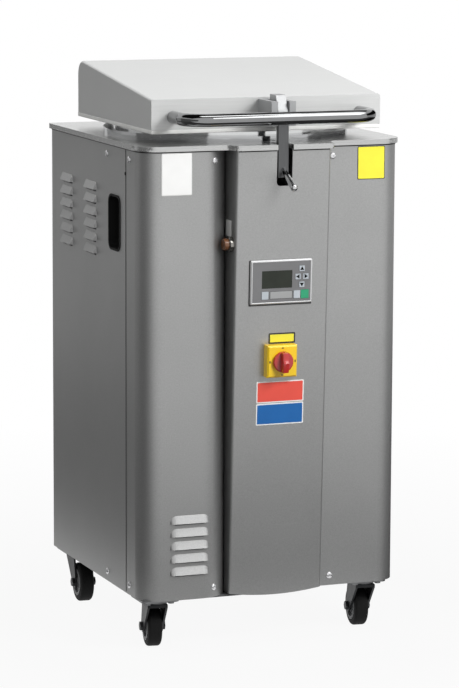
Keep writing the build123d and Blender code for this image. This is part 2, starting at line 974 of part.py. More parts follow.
# Knives: inner star, blade ring and outer radial blades, welded at their edges
ring_inner = blade_circle - blade_thickness / 2
ring_outer = blade_circle + blade_thickness / 2
with BuildPart() as knife_star:
    with BuildSketch(bowl_axis_plane.offset(blade_bottom)):
        with PolarLocations(ring_inner / 2, inner_cells):
            Rectangle(ring_inner, blade_thickness)
        Circle(blade_thickness)
        with PolarLocations(blade_circle, inner_cells):
            Rectangle(blade_thickness, 2 * blade_thickness, mode=Mode.SUBTRACT)
    extrude(amount=blade_height)
with BuildPart() as blade_ring:
    with BuildSketch(bowl_axis_plane.offset(blade_bottom)):
        Circle(ring_outer)
        Circle(ring_inner, mode=Mode.SUBTRACT)
    extrude(amount=blade_height)
with BuildPart() as outer_blades:
    outer_blade_length = blade_end - ring_outer
    with BuildSketch(bowl_axis_plane.offset(blade_bottom)):
        with PolarLocations(ring_outer + outer_blade_length / 2, outer_cells):
            Rectangle(outer_blade_length, blade_thickness)
        Circle(ring_outer, mode=Mode.SUBTRACT)
    extrude(amount=blade_height)
with BuildPart() as knife_set:
    add(knife_star.part)
knife_set.part = Compound(
    children=[knife_star.part.solid(), blade_ring.part.solid(), *outer_blades.part.solids()]
)
save(knife_set, "knife_set")

# Hydraulic cylinder: barrel with a blind foot, and a flange under the bridge
with BuildPart() as hydraulic_cylinder:
    with BuildSketch(bowl_axis_plane.offset(barrel_bottom)):
        Circle(barrel_radius)
    extrude(amount=barrel_length)
    with BuildSketch(bowl_axis_plane.offset(bridge_bottom)):
        Circle(flange_radius)
    extrude(amount=-flange_thickness)
    with BuildSketch(bowl_axis_plane.offset(barrel_top)):
        Circle(ram_radius + shaft_clearance)
    extrude(amount=-(barrel_length - barrel_foot), mode=Mode.SUBTRACT)
save(hydraulic_cylinder, "hydraulic_cylinder")

# Press frame: bridge plate, tie columns up to the deck and guide rods for the carrier
with BuildPart() as bridge:
    with BuildSketch(bowl_axis_plane.offset(bridge_bottom)):
        Rectangle(bridge_size, bridge_size)
        Circle(barrel_radius + bridge_fit, mode=Mode.SUBTRACT)
    extrude(amount=bridge_thickness)
with BuildPart() as tie_columns:
    with BuildSketch(bowl_axis_plane.offset(bridge_top)):
        with GridLocations(2 * tie_offset, 2 * tie_offset, 2, 2):
            Circle(tie_radius)
    extrude(amount=deck_bottom - bridge_top)
with BuildPart() as guide_rods:
    with BuildSketch(bowl_axis_plane.offset(bridge_top)):
        with PolarLocations(guide_circle, guide_count, start_angle=outer_pitch / 2):
            Circle(guide_radius)
    extrude(amount=guide_length)
with BuildPart() as press_frame:
    add(bridge.part)
press_frame.part = Compound(
    children=[bridge.part.solid(), *tie_columns.part.solids(), *guide_rods.part.solids()]
)
save(press_frame, "press_frame")

# Oil tank with its lid plate
tank_y = back_y - tank_back_gap - tank_depth / 2
motor_y = back_y - motor_gap - motor_radius
valve_y = back_y - valve_gap - valve_depth
with BuildPart() as tank_box:
    with BuildSketch(Plane.XY.offset(base_top)):
        with Locations((0, tank_y)):
            Rectangle(tank_width, tank_depth)
    extrude(amount=tank_height)
    offset(amount=-tank_wall, openings=tank_box.faces().sort_by(Axis.Z)[-1])
with BuildPart() as tank_cover:
    with BuildSketch(Plane.XY.offset(tank_top)):
        with Locations((0, tank_y)):
            Rectangle(tank_width, tank_depth)
    extrude(amount=tank_lid)
with BuildPart() as oil_tank:
    add(tank_box.part)
oil_tank.part = Compound(children=[tank_box.part.solid(), tank_cover.part.solid()])
save(oil_tank, "oil_tank")

# Pump motor on the tank lid, with the pump hanging in the oil below
with BuildPart() as motor:
    with BuildSketch(Plane(origin=(motor_x, motor_y, tank_lid_top))):
        Circle(motor_radius)
    extrude(amount=motor_length - fan_cover_length)
    with BuildSketch(Plane(origin=(motor_x, motor_y, tank_lid_top + motor_length - fan_cover_length))):
        Circle(fan_cover_radius)
    extrude(amount=fan_cover_length)
with BuildPart() as pump:
    with BuildSketch(Plane(origin=(motor_x, motor_y, tank_top))):
        Circle(pump_radius)
    extrude(amount=-pump_length)
with BuildPart() as pump_motor:
    add(motor.part)
pump_motor.part = Compound(children=[motor.part.solid(), pump.part.solid()])
save(pump_motor, "pump_motor")

# Valve block with two coils, and the pressure pipe to the cylinder's foot
pipe_start = (valve_x, valve_y, tank_lid_top + valve_height)
pipe_z = barrel_bottom + pipe_port
with BuildPart() as valves:
    with BuildSketch(Plane(origin=(valve_x, valve_y, tank_lid_top))):
        Rectangle(valve_width, valve_depth)
    extrude(amount=valve_height)
    for end in (-1, 1):
        coil_face = (valve_x + end * valve_width / 2, valve_y, tank_lid_top + valve_height / 2)
        with BuildSketch(Plane(origin=coil_face, x_dir=(0, end, 0), z_dir=(end, 0, 0))):
            Circle(coil_radius)
        extrude(amount=coil_length)
with BuildPart() as pressure_pipe:
    with BuildLine() as pipe_path:
        FilletPolyline(
            pipe_start,
            (valve_x, valve_y, pipe_z),
            (valve_x, bowl_y, pipe_z),
            (-barrel_radius, bowl_y, pipe_z),
            radius=pipe_bend,
        )
    with BuildSketch(Plane(origin=pipe_start)):
        Circle(pipe_radius)
    sweep()
    with BuildSketch(bowl_axis_plane.offset(barrel_bottom)):
        Circle(barrel_radius)
    extrude(amount=barrel_length, mode=Mode.SUBTRACT)
with BuildPart() as valve_block:
    add(valves.part)
valve_block.part = Compound(children=[valves.part.solid(), pressure_pipe.part.solid()])
save(valve_block, "valve_block")

# Control box on the inside of the right wall
with BuildPart() as control_box:
    with BuildSketch(Plane.XY.offset(control_z)):
        with Locations((inner_x - control_depth / 2, front_y + control_setback + control_width / 2)):
            Rectangle(control_depth, control_width)
    extrude(amount=control_height)
    fillet(control_box.faces().sort_by(Axis.X)[0].edges(), control_edge)
save(control_box, "control_box")

# Lid cover: a wedge of sheet steel, open underneath
lid_half = lid_width / 2
lid_slope = atan((lid_back_height - lid_front_height) / lid_depth)
lid_roof_drop = lid_sheet / cos(lid_slope)


def lid_section(x, inset, roof_drop, back_radius):
    """The lid's side outline, drawn in by a wall."""
    front_top = lid_bottom + lid_front_height + inset * tan(lid_slope) - roof_drop
    back_top = lid_bottom + lid_back_height - inset * tan(lid_slope) - roof_drop
    with BuildSketch(section_plane(x)) as outline:
        with BuildLine():
            FilletPolyline(
                (lid_front_y + inset, lid_bottom),
                (lid_front_y + inset, front_top),
                (lid_back_y - inset, back_top),
                (lid_back_y - inset, lid_bottom),
                radius=[0, 0, back_radius, 0],
                close=True,
            )
        make_face()
    return outline.sketch


with BuildPart() as lid_cover:
    extrude(lid_section(-lid_half, 0, 0, lid_back_radius), amount=lid_width)
    roof = lid_cover.faces().sort_by(Axis.Z)[-1]
    roof_ends = [edge for edge in roof.edges() if abs(edge.center().X) > lid_half - lid_edge_radius]
    roof_front = roof.edges().filter_by(Axis.X).sort_by(Axis.Y)[0]
    fillet([*roof_ends, roof_front], lid_edge_radius)
    hollow = lid_section(-lid_half + lid_sheet, lid_sheet, lid_roof_drop, lid_back_radius - lid_sheet)
    extrude(hollow, amount=lid_width - 2 * lid_sheet, mode=Mode.SUBTRACT)
save(lid_cover, "lid_cover")

# Lid core: the thick plate inside the cover that takes the pressing force
lid_mid_y = (lid_front_y + lid_back_y) / 2
with BuildPart() as lid_core:
    with BuildSketch(Plane.XY.offset(lid_bottom)):
        with Locations((0, lid_mid_y)):
            Rectangle(lid_width - 2 * lid_sheet, lid_depth - 2 * lid_sheet)
    extrude(amount=lid_core_thickness)
save(lid_core, "lid_core")

# Lid press plate: the food-grade plastic face under the lid
with BuildPart() as lid_press_plate:
    with BuildSketch(Plane.XY.offset(lid_plate_bottom)):
        with Locations((0, lid_mid_y)):
            Rectangle(lid_width, lid_depth)
    extrude(amount=lid_plate_thickness)
    chamfer(lid_press_plate.faces().sort_by(Axis.Z)[0].edges(), lid_plate_edge)
save(lid_press_plate, "lid_press_plate")

# Lid handle: one bent bar across the front of the lid
with BuildPart() as lid_handle:
    with BuildLine():
        FilletPolyline(
            (-handle_span / 2, lid_front_y, handle_z),
            (-handle_span / 2, handle_y, handle_z),
            (handle_span / 2, handle_y, handle_z),
            (handle_span / 2, lid_front_y, handle_z),
            radius=handle_bend,
        )
    with BuildSketch(front_plane(-handle_span / 2, lid_front_y, handle_z)):
        Circle(handle_radius)
    sweep()
save(lid_handle, "lid_handle")

# Lid hinge: two brackets on the deck and the shaft through them
hinge_reach = hinge_bracket_x + hinge_bracket_width / 2 + hinge_shaft_overhang
with BuildPart() as hinge_brackets:
    for x in (-hinge_bracket_x, hinge_bracket_x):
        with BuildSketch(section_plane(x - hinge_bracket_width / 2)):
            with Locations((hinge_y, (deck_top + hinge_z) / 2)):
                Rectangle(hinge_bracket_depth, hinge_rise)
            with Locations((hinge_y, hinge_z)):
                Circle(hinge_eye_radius)
                Circle(hinge_shaft_radius + shaft_clearance, mode=Mode.SUBTRACT)
        extrude(amount=hinge_bracket_width)
with BuildPart() as hinge_shaft:
    with BuildSketch(section_plane(-hinge_reach)):
        with Locations((hinge_y, hinge_z)):
            Circle(hinge_shaft_radius)
    extrude(amount=2 * hinge_reach)
with BuildPart() as lid_hinge:
    add(hinge_shaft.part)
lid_hinge.part = Compound(children=[*hinge_brackets.part.solids(), hinge_shaft.part.solid()])
save(lid_hinge, "lid_hinge")

# Lid hinge arms: eyes on the back of the lid that turn on the shaft
with BuildPart() as lid_hinge_arms:
    for x in (-hinge_arm_x, hinge_arm_x):
        with BuildSketch(section_plane(x - hinge_arm_width / 2)):
            with Locations((lid_back_y + hinge_setback / 2, lid_bottom + hinge_arm_foot / 2)):
                Rectangle(hinge_setback, hinge_arm_foot)
            with Locations((hinge_y, hinge_z)):
                Circle(hinge_arm_radius)
            make_hull()
            with Locations((hinge_y, hinge_z)):
                Circle(hinge_shaft_radius + shaft_clearance, mode=Mode.SUBTRACT)
            with Locations((lid_back_y - hinge_arm_foot / 2, hinge_z)):
                Rectangle(hinge_arm_foot, 4 * hinge_arm_foot, mode=Mode.SUBTRACT)
        extrude(amount=hinge_arm_width)
save(lid_hinge_arms, "lid_hinge_arms")

# Latch bracket: two cheeks on a foot plate, with the pivot pin through them
bracket_width = cheek_gap + 2 * cheek_thickness
cheek_bottom = lid_bottom + cheek_rise
cheek_mid_z = cheek_bottom + cheek_height / 2
with BuildPart() as latch_cheeks:
    with BuildSketch(section_plane(latch_x - bracket_width / 2)):
        with Locations((lid_front_y - cheek_reach / 2, cheek_mid_z)):
            Rectangle(cheek_reach, cheek_height)
        with Locations((pivot_y, pivot_z)):
            Circle(pivot_radius + shaft_clearance, mode=Mode.SUBTRACT)
    extrude(amount=bracket_width)
    with BuildSketch(section_plane(latch_x - cheek_gap / 2)):
        with Locations((lid_front_y - cheek_foot - cheek_reach / 2, cheek_mid_z)):
            Rectangle(cheek_reach, 2 * cheek_height)
    extrude(amount=cheek_gap, mode=Mode.SUBTRACT)
with BuildPart() as pivot_pin:
    with BuildSketch(section_plane(latch_x - bracket_width / 2)):
        with Locations((pivot_y, pivot_z)):
            Circle(pivot_radius)
    extrude(amount=bracket_width)
with BuildPart() as latch_bracket:
    add(latch_cheeks.part)
latch_bracket.part = Compound(children=[latch_cheeks.part.solid(), pivot_pin.part.solid()])
save(latch_bracket, "latch_bracket")

# Latch arm: head on the pivot, a bar down into the console slot, and a hook that swings in
# under the keeper
arm_bottom = pivot_z - arm_drop
hook_top = arm_bottom + hook_thickness
keeper_y = lid_front_y - keeper_reach
keeper_z = hook_top + hook_gap + keeper_radius
with BuildPart() as latch_arm:
    with BuildSketch(section_plane(latch_x - arm_width / 2)):
        with BuildLine():
            Polyline(
                (arm_front_y, arm_bottom),
                (arm_front_y + hook_reach, arm_bottom),
                (arm_front_y + hook_reach, hook_top),
                (arm_back_y, hook_top),
                (arm_back_y, pivot_z - arm_head_drop),
                (arm_front_y + arm_head_depth, pivot_z - arm_head_drop / 2),
                (arm_front_y + arm_head_depth, pivot_z + arm_head_rise),
                (arm_front_y + arm_slope_depth, pivot_z + arm_head_rise),
                (arm_front_y, pivot_z + arm_head_rise - arm_slope_height),
                close=True,
            )
        make_face()
        with Locations((pivot_y, pivot_z)):
            Circle(pivot_radius + shaft_clearance, mode=Mode.SUBTRACT)
    extrude(amount=arm_width)
save(latch_arm, "latch_arm")

# Latch peg: the tapered finger lever on the arm, with a round end
peg_plane = Plane(
    origin=(latch_x, arm_front_y, arm_bottom + peg_rise),
    x_dir=(1, 0, 0),
    z_dir=(0, -cos(radians(peg_angle)), -sin(radians(peg_angle))),
)
with BuildPart() as latch_peg:
    with BuildSketch(peg_plane.offset(-peg_root_radius)):
        Circle(peg_root_radius)
    with BuildSketch(peg_plane.offset(peg_length - peg_radius)):
        Circle(peg_radius)
    loft()
    with Locations(peg_plane.offset(peg_length - peg_radius).location):
        Sphere(peg_radius)
    split(bisect_by=front_plane(latch_x, arm_front_y, arm_bottom), keep=Keep.TOP)
save(latch_peg, "latch_peg")

# Latch keeper: the cross pin that the hook catches, hung from the deck by two side plates
keeper_half = slot_width / 2 + keeper_plate / 2
with BuildPart() as latch_keeper:
    for side in (-1, 1):
        plate_x = latch_x + side * (keeper_half + keeper_plate / 2)
        with BuildSketch(section_plane(plate_x - keeper_plate / 2)):
            with Locations((keeper_y, deck_bottom - keeper_plate_drop / 2)):
                Rectangle(keeper_plate_depth, keeper_plate_drop)
        extrude(amount=keeper_plate)
    with BuildSketch(section_plane(latch_x - keeper_half)):
        with Locations((keeper_y, keeper_z)):
            Circle(keeper_radius)
    extrude(amount=2 * keeper_half)
save(latch_keeper, "latch_keeper")

# Display keys: place and size of each cap on the display's face
key_sizes = {
    "key_up": (arrow_dx, arrow_dy + arrow_step_y, arrow_key, arrow_key),
    "key_down": (arrow_dx, arrow_dy - arrow_step_y, arrow_key, arrow_key),
    "key_left": (arrow_dx - arrow_step_x, arrow_dy, arrow_key, arrow_key),
    "key_right": (arrow_dx + arrow_step_x, arrow_dy, arrow_key, arrow_key),
    "key_escape": (escape_key_dx, pad_key_dy, pad_key_width, pad_key_height),
    "key_accept": (accept_key_dx, pad_key_dy, accept_key_width, accept_key_height),
    "key_function": (function_key_dx, pad_key_dy, pad_key_width, pad_key_height),
}
key_pocket = key_thickness - key_proud + key_travel + key_fit

# Display housing: bevelled front lip with its screen recess and key pockets, and the body behind
with BuildPart() as display_housing:
    with BuildSketch(display_plane):
        Rectangle(display_width, display_height)
    extrude(amount=display_lip)
    chamfer(display_housing.faces().sort_by(Axis.Y)[0].edges(), display_bevel)
    with BuildSketch(display_plane):
        Rectangle(display_width - 2 * display_body_inset, display_height - 2 * display_body_inset)
    extrude(amount=-display_body_depth)
    with BuildSketch(display_plane.offset(display_lip)):
        with Locations((screen_dx, screen_dy)):
            Rectangle(screen_width, screen_height)
    extrude(amount=-screen_recess, mode=Mode.SUBTRACT)
    with BuildSketch(display_plane.offset(display_lip)):
        for key_x, key_y, key_w, key_h in key_sizes.values():
            with Locations((key_x, key_y)):
                Rectangle(key_w + 2 * key_fit, key_h + 2 * key_fit)
    extrude(amount=-key_pocket, mode=Mode.SUBTRACT)
save(display_housing, "display_housing")

# Display screen: the glass in its recess
with BuildPart() as display_screen:
    with BuildSketch(display_plane.offset(display_lip - screen_recess)):
        with Locations((screen_dx, screen_dy)):
            Rectangle(screen_width, screen_height)
    extrude(amount=screen_thickness)
save(display_screen, "display_screen")

# Key caps, each free to sink by the key travel
for key_name, (key_x, key_y, key_w, key_h) in key_sizes.items():
    with BuildPart() as key_cap:
        with BuildSketch(display_plane.offset(display_lip + key_proud)):
            with Locations((key_x, key_y)):
                Rectangle(key_w, key_h)
        extrude(amount=-key_thickness)
    save(key_cap, key_name)

# Mains switch housing: bevelled box on the console, with its contact block behind
with BuildPart() as switch_housing:
    with BuildSketch(switch_plane):
        Rectangle(switch_width, switch_height)
    extrude(amount=switch_depth)
    chamfer(switch_housing.faces().sort_by(Axis.Y)[0].edges(), switch_bevel)
    with BuildSketch(switch_plane):
        Circle(switch_neck_radius)
    extrude(amount=-2 * sheet)
    with BuildSketch(switch_plane.offset(-2 * sheet)):
        Rectangle(switch_block, switch_block)
    extrude(amount=-switch_block_depth)
    with BuildSketch(switch_plane.offset(switch_depth)):
        Circle(knob_shaft_radius + shaft_clearance)
    extrude(amount=-(knob_shaft_depth + knob_gap), mode=Mode.SUBTRACT)
save(switch_housing, "switch_housing")

# Mains switch knob: round base, raised grip bar and the shaft into the housing
with BuildPart() as mains_knob:
    with BuildSketch(switch_plane.offset(switch_depth + knob_gap)):
        Circle(knob_radius)
    extrude(amount=knob_base)
    with BuildSketch(switch_plane.offset(switch_depth + knob_gap + knob_base)):
        RectangleRounded(knob_bar_width, knob_bar_length, knob_bar_radius)
    extrude(amount=knob_bar_height, taper=knob_bar_taper)
    with BuildSketch(switch_plane.offset(switch_depth + knob_gap)):
        Circle(knob_shaft_radius)
    extrude(amount=-knob_shaft_depth)
save(mains_knob, "mains_knob")

# Start button bezel: flanged ring on the wall, with its neck and contact block inside
bezel_bore = button_radius + button_fit
with BuildPart() as button_bezel:
    with BuildSketch(button_plane):
        Circle(bezel_radius)
    extrude(amount=bezel_length)
    chamfer(button_bezel.faces().sort_by(Axis.X)[0].edges(), bezel_edge)
    with BuildSketch(button_plane):
        Circle(button_neck_radius)
    extrude(amount=-2 * sheet)
    with BuildSketch(button_plane.offset(-2 * sheet)):
        Rectangle(button_block, button_block)
    extrude(amount=-button_block_depth)
    with BuildSketch(button_plane.offset(bezel_length)):
        Circle(bezel_bore)
    extrude(amount=-(bezel_length + 2 * sheet), mode=Mode.SUBTRACT)
save(button_bezel, "button_bezel")

# Start button cap
with BuildPart() as start_button:
    with BuildSketch(button_plane.offset(bezel_length + button_proud)):
        Circle(button_radius)
    extrude(amount=-(button_proud + bezel_length + 2 * sheet - button_travel - button_fit))
    fillet(start_button.faces().sort_by(Axis.X)[0].edges(), button_edge)
save(start_button, "start_button")

# Caster mounting plates with their ball race and kingpin, and the bolts up into the base
caster_plate_bottom = panel_bottom - caster_plate_thickness
race_bottom = caster_plate_bottom - race_height
crown_top = race_bottom - race_gap
crown_bottom = crown_top - fork_crown
kingpin_head_top = crown_bottom - race_gap
with BuildPart() as plates:
    for x, y in caster_spots.values():
        with BuildSketch(Plane(origin=(x, y, caster_plate_bottom))):
            RectangleRounded(caster_plate_length, caster_plate_width, caster_plate_corner)
            with GridLocations(2 * caster_bolt_dx, 2 * caster_bolt_dy, 2, 2):
                Circle(caster_bolt_radius + caster_bolt_clearance, mode=Mode.SUBTRACT)
        extrude(amount=caster_plate_thickness)
        with BuildSketch(Plane(origin=(x, y, race_bottom))):
            Circle(race_radius)
        extrude(amount=race_height)
        with BuildSketch(Plane(origin=(x, y, race_bottom))):
            Circle(kingpin_radius)
        extrude(amount=kingpin_head_top - race_bottom)
        with BuildSketch(Plane(origin=(x, y, kingpin_head_top))):
            Circle(kingpin_head_radius)
        extrude(amount=-kingpin_head)
with BuildPart() as bolts:
    for x, y in caster_bolt_spots:
        with BuildSketch(Plane(origin=(x, y, caster_plate_bottom))):
            RegularPolygon(caster_bolt_hex, 6)
        extrude(amount=-caster_bolt_head)
        with BuildSketch(Plane(origin=(x, y, caster_plate_bottom))):
            Circle(caster_bolt_radius)
        extrude(amount=caster_plate_thickness + base_thickness)
with BuildPart() as caster_plates:
    add(plates.part)
caster_plates.part = Compound(children=[*plates.part.solids(), *bolts.part.solids()])
save(caster_plates, "caster_plates")


def caster_side_plane(name, offset_along_axle):
    """A plane across one caster's axle: its X is the trail direction and its Y is up."""
    x, y = caster_spots[name]
    turn = radians(caster_turns[name])
    axle = (cos(turn), sin(turn), 0)
    trail = (-sin(turn), cos(turn), 0)
    return Plane(origin=(x, y, 0), x_dir=trail, z_dir=axle).offset(offset_along_axle)


def build_caster(name):
    """Fork with its axle, wheel centre and tyre of one caster."""
    x, y = caster_spots[name]
    hub_spot = (caster_trail, wheel_radius)
    fork_half = fork_half_gap + fork_plate
    crown_plane = Plane(caster_side_plane(name, 0).location) * Plane.XZ

    with BuildPart() as fork_body:
        for side in (-1, 1):
            inner = caster_side_plane(name, side * fork_half_gap)
            with BuildSketch(inner):
                with Locations((0, crown_bottom + fork_crown / 2)):
                    Rectangle(fork_crown_length, fork_crown)
                with Locations(hub_spot):
                    Circle(fork_end_radius)
                make_hull()
                with Locations(hub_spot):
                    Circle(axle_radius + shaft_clearance, mode=Mode.SUBTRACT)
            extrude(amount=side * fork_plate)
        with BuildSketch(caster_side_plane(name, -fork_half_gap)):
            with Locations((0, crown_bottom + fork_crown / 2)):
                Rectangle(fork_crown_length, fork_crown)
        extrude(amount=2 * fork_half_gap)
        with BuildSketch(Plane(origin=(x, y, crown_bottom))):
            Circle(kingpin_radius + shaft_clearance)
        extrude(amount=fork_crown, mode=Mode.SUBTRACT)
    with BuildPart() as axle:
        with BuildSketch(caster_side_plane(name, -fork_half)):
            with Locations(hub_spot):
                Circle(axle_radius)
        extrude(amount=2 * fork_half)
        for side in (-1, 1):
            with BuildSketch(caster_side_plane(name, side * fork_half)):
                with Locations(hub_spot):
                    RegularPolygon(axle_head_radius, 6)
            extrude(amount=side * axle_head_length)
    with BuildPart() as fork:
        add(fork_body.part)
    fork.part = Compound(children=[fork_body.part.solid(), axle.part.solid()])
    save(fork, f"caster_fork_{name}")

    with BuildPart() as wheel_centre:
        with BuildSketch(caster_side_plane(name, -rim_width / 2)):
            with Locations(hub_spot):
                Circle(rim_radius)
        extrude(amount=rim_width)
        for side in (-1, 1):
            with BuildSketch(caster_side_plane(name, side * rim_width / 2)):
                with Locations(hub_spot):
                    Circle(rim_radius - rim_dish)
                    Circle(boss_radius, mode=Mode.SUBTRACT)
            extrude(amount=-side * rim_dish_depth, mode=Mode.SUBTRACT)
        with BuildSketch(caster_side_plane(name, -rim_width / 2)):
            with Locations(hub_spot):
                Circle(axle_radius + shaft_clearance)
        extrude(amount=rim_width, mode=Mode.SUBTRACT)
    save(wheel_centre, f"wheel_centre_{name}")

    with BuildPart() as tyre:
        with BuildSketch(caster_side_plane(name, -wheel_width / 2)):
            with Locations(hub_spot):
                Circle(wheel_radius)
        extrude(amount=wheel_width)
        fillet(tyre.edges(), tyre_edge)
        with BuildSketch(caster_side_plane(name, -wheel_width / 2)):
            with Locations(hub_spot):
                Circle(rim_radius)
        extrude(amount=wheel_width, mode=Mode.SUBTRACT)
    save(tyre, f"tyre_{name}")


for caster_name in caster_spots:
    build_caster(caster_name)
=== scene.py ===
import json
import math

import bmesh
import bpy
from mathutils import Matrix, Vector


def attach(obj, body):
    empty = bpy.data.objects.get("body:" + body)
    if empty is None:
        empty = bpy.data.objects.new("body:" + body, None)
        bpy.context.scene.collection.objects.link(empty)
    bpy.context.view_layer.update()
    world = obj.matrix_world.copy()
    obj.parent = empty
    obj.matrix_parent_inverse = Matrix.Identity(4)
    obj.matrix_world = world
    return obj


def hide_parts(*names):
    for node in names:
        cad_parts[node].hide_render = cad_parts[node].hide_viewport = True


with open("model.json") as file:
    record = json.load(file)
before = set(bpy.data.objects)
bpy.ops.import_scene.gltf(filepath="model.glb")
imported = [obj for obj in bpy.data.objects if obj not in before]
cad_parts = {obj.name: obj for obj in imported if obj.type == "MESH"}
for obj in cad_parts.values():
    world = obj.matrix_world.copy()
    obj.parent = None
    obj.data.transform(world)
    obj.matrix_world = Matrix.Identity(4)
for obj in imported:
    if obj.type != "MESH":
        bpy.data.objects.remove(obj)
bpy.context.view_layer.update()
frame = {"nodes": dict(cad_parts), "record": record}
nodes = frame["nodes"]

# Places that the looks share with the solids, in metres
CABINET_Y = 0.040442
HALF_DEPTH = 0.2715
SIDE_X = 0.274
FRONT_Y = CABINET_Y - HALF_DEPTH
BACK_Y = CABINET_Y + HALF_DEPTH
COVER_PROUD = 0.0215
COVER_Y = FRONT_Y - COVER_PROUD
PANEL_TOP = 0.980
PANEL_BOTTOM = 0.105
FACE_PROUD = 0.0145
FACE_LEAN = 0.035
FACE_SLOPE = math.atan(FACE_LEAN / (PANEL_TOP - PANEL_BOTTOM))
FACE_UP = Vector((0, -math.sin(FACE_SLOPE), math.cos(FACE_SLOPE)))
RIGHT = Vector((1, 0, 0))
UP = Vector((0, 0, 1))


# Materials
def new_material(name):
    """A material with its node tree, its shader and its texture coordinates."""
    material = bpy.data.materials.new(name)
    material.use_nodes = True
    tree = material.node_tree
    shader = tree.nodes["Principled BSDF"]
    coords = tree.nodes.new("ShaderNodeTexCoord")
    return material, tree, shader, coords


def stretched(tree, coords, scale):
    """Object coordinates, stretched so that a noise becomes a grain."""
    mapping = tree.nodes.new("ShaderNodeMapping")
    mapping.inputs["Scale"].default_value = scale
    tree.links.new(coords.outputs["Object"], mapping.inputs["Vector"])
    return mapping.outputs["Vector"]


def noise(tree, vector, scale, detail=3.0, rough=0.55):
    texture = tree.nodes.new("ShaderNodeTexNoise")
    texture.inputs["Scale"].default_value = scale
    texture.inputs["Detail"].default_value = detail
    texture.inputs["Roughness"].default_value = rough
    tree.links.new(vector, texture.inputs["Vector"])
    return texture.outputs["Fac"]


def shade(colour, factor):
    return tuple(min(1.0, c * factor) for c in colour)


def toned(tree, fac, colour, low, high, start=0.3, end=0.7):
    """A two-stop ramp over a noise, from a darker to a lighter shade of one colour."""
    node = tree.nodes.new("ShaderNodeValToRGB")
    node.color_ramp.elements[0].position = start
    node.color_ramp.elements[0].color = (*shade(colour, low), 1)
    node.color_ramp.elements[1].position = end
    node.color_ramp.elements[1].color = (*shade(colour, high), 1)
    tree.links.new(fac, node.inputs["Fac"])
    return node.outputs["Color"]


def mixed(tree, fac, a, b):
    """Two colours mixed by a fixed share, or by another node's value."""
    node = tree.nodes.new("ShaderNodeMix")
    node.data_type = "RGBA"
    if isinstance(fac, float):
        node.inputs["Factor"].default_value = fac
    else:
        tree.links.new(fac, node.inputs["Factor"])
    tree.links.new(a, node.inputs["A"])
    tree.links.new(b, node.inputs["B"])
    return node.outputs["Result"]


def roughen(tree, shader, fac, low, high):
    """A roughness that follows a noise between two values."""
    node = tree.nodes.new("ShaderNodeMapRange")
    node.inputs["To Min"].default_value = low
    node.inputs["To Max"].default_value = high
    tree.links.new(fac, node.inputs["Value"])
    tree.links.new(node.outputs["Result"], shader.inputs["Roughness"])


def bump(tree, shader, height, strength, distance):
    node = tree.nodes.new("ShaderNodeBump")
    node.inputs["Strength"].default_value = strength
    node.inputs["Distance"].default_value = distance
    tree.links.new(height, node.inputs["Height"])
    tree.links.new(node.outputs["Normal"], shader.inputs["Normal"])


def paint(name, colour, metallic, rough, flake=0.16):
    """Satin metallic paint: fine flake, a visible grain, a slow mottle and a light orange peel."""
    material, tree, shader, coords = new_material(name)
    flakes = noise(tree, coords.outputs["Object"], scale=1400, detail=2.0, rough=0.7)
    grain = noise(tree, coords.outputs["Object"], scale=380, rough=0.75)
    mottle = noise(tree, coords.outputs["Object"], scale=7)
    fine = toned(tree, flakes, colour, 1 - flake, 1 + flake)
    coarse = toned(tree, grain, colour, 1 - flake, 1 + flake)
    slow = toned(tree, mottle, colour, 0.94, 1.06)
    tone = mixed(tree, 0.4, mixed(tree, 0.6, fine, coarse), slow)
    tree.links.new(tone, shader.inputs["Base Color"])
    roughen(tree, shader, grain, rough - 0.08, rough + 0.08)
    shader.inputs["Metallic"].default_value = metallic
    bump(tree, shader, flakes, strength=0.06, distance=0.0004)
    return material


def scratched(tree, shader, coords, rough, grain, depth):
    """Long scratches along one axis, in the roughness and as a slight relief."""
    scratch = noise(tree, stretched(tree, coords, grain), scale=1.0, detail=4.0, rough=0.6)
    roughen(tree, shader, scratch, rough - 0.07, rough + 0.09)
    bump(tree, shader, scratch, strength=depth, distance=0.0003)
    return scratch


def brushed(name, colour, rough, grain, depth=0.08, tone=0.07, metallic=1.0):
    """Brushed metal: long scratches along one axis and a slow variation."""
    material, tree, shader, coords = new_material(name)
    scratch = scratched(tree, shader, coords, rough, grain, depth)
    slow = noise(tree, coords.outputs["Object"], scale=5, detail=2.0)
    fine = toned(tree, scratch, colour, 1 - tone, 1 + tone)
    broad = toned(tree, slow, colour, 0.96, 1.03)
    tree.links.new(mixed(tree, 0.4, fine, broad), shader.inputs["Base Color"])
    shader.inputs["Metallic"].default_value = metallic
    return material


def bar_with_painted_highlight(name, foot, head, start, end, rough, grain, depth=0.08, tone=0.07):
    """Brushed bar whose head is painted brighter as a highlight, which sets in between two shares of its
    height.
    """
    material, tree, shader, coords = new_material(name)
    scratch = scratched(tree, shader, coords, rough, grain, depth)
    height = tree.nodes.new("ShaderNodeSeparateXYZ")
    tree.links.new(coords.outputs["Generated"], height.inputs["Vector"])
    level = tree.nodes.new("ShaderNodeMapRange")
    level.inputs["From Min"].default_value = start
    level.inputs["From Max"].default_value = end
    tree.links.new(height.outputs["Z"], level.inputs["Value"])
    lower = toned(tree, scratch, foot, 1 - tone, 1 + tone)
    upper = toned(tree, scratch, head, 1 - tone, 1 + tone)
    tree.links.new(mixed(tree, level.outputs["Result"], lower, upper), shader.inputs["Base Color"])
    shader.inputs["Metallic"].default_value = 1.0
    return material


def polished(name, colour, rough):
    """Polished metal with faint wiping marks."""
    material, tree, shader, coords = new_material(name)
    smear = noise(tree, coords.outputs["Object"], scale=38, detail=4.0, rough=0.6)
    tree.links.new(toned(tree, smear, colour, 0.95, 1.03), shader.inputs["Base Color"])
    roughen(tree, shader, smear, rough * 0.6, rough * 1.6)
    shader.inputs["Metallic"].default_value = 1.0
    return material


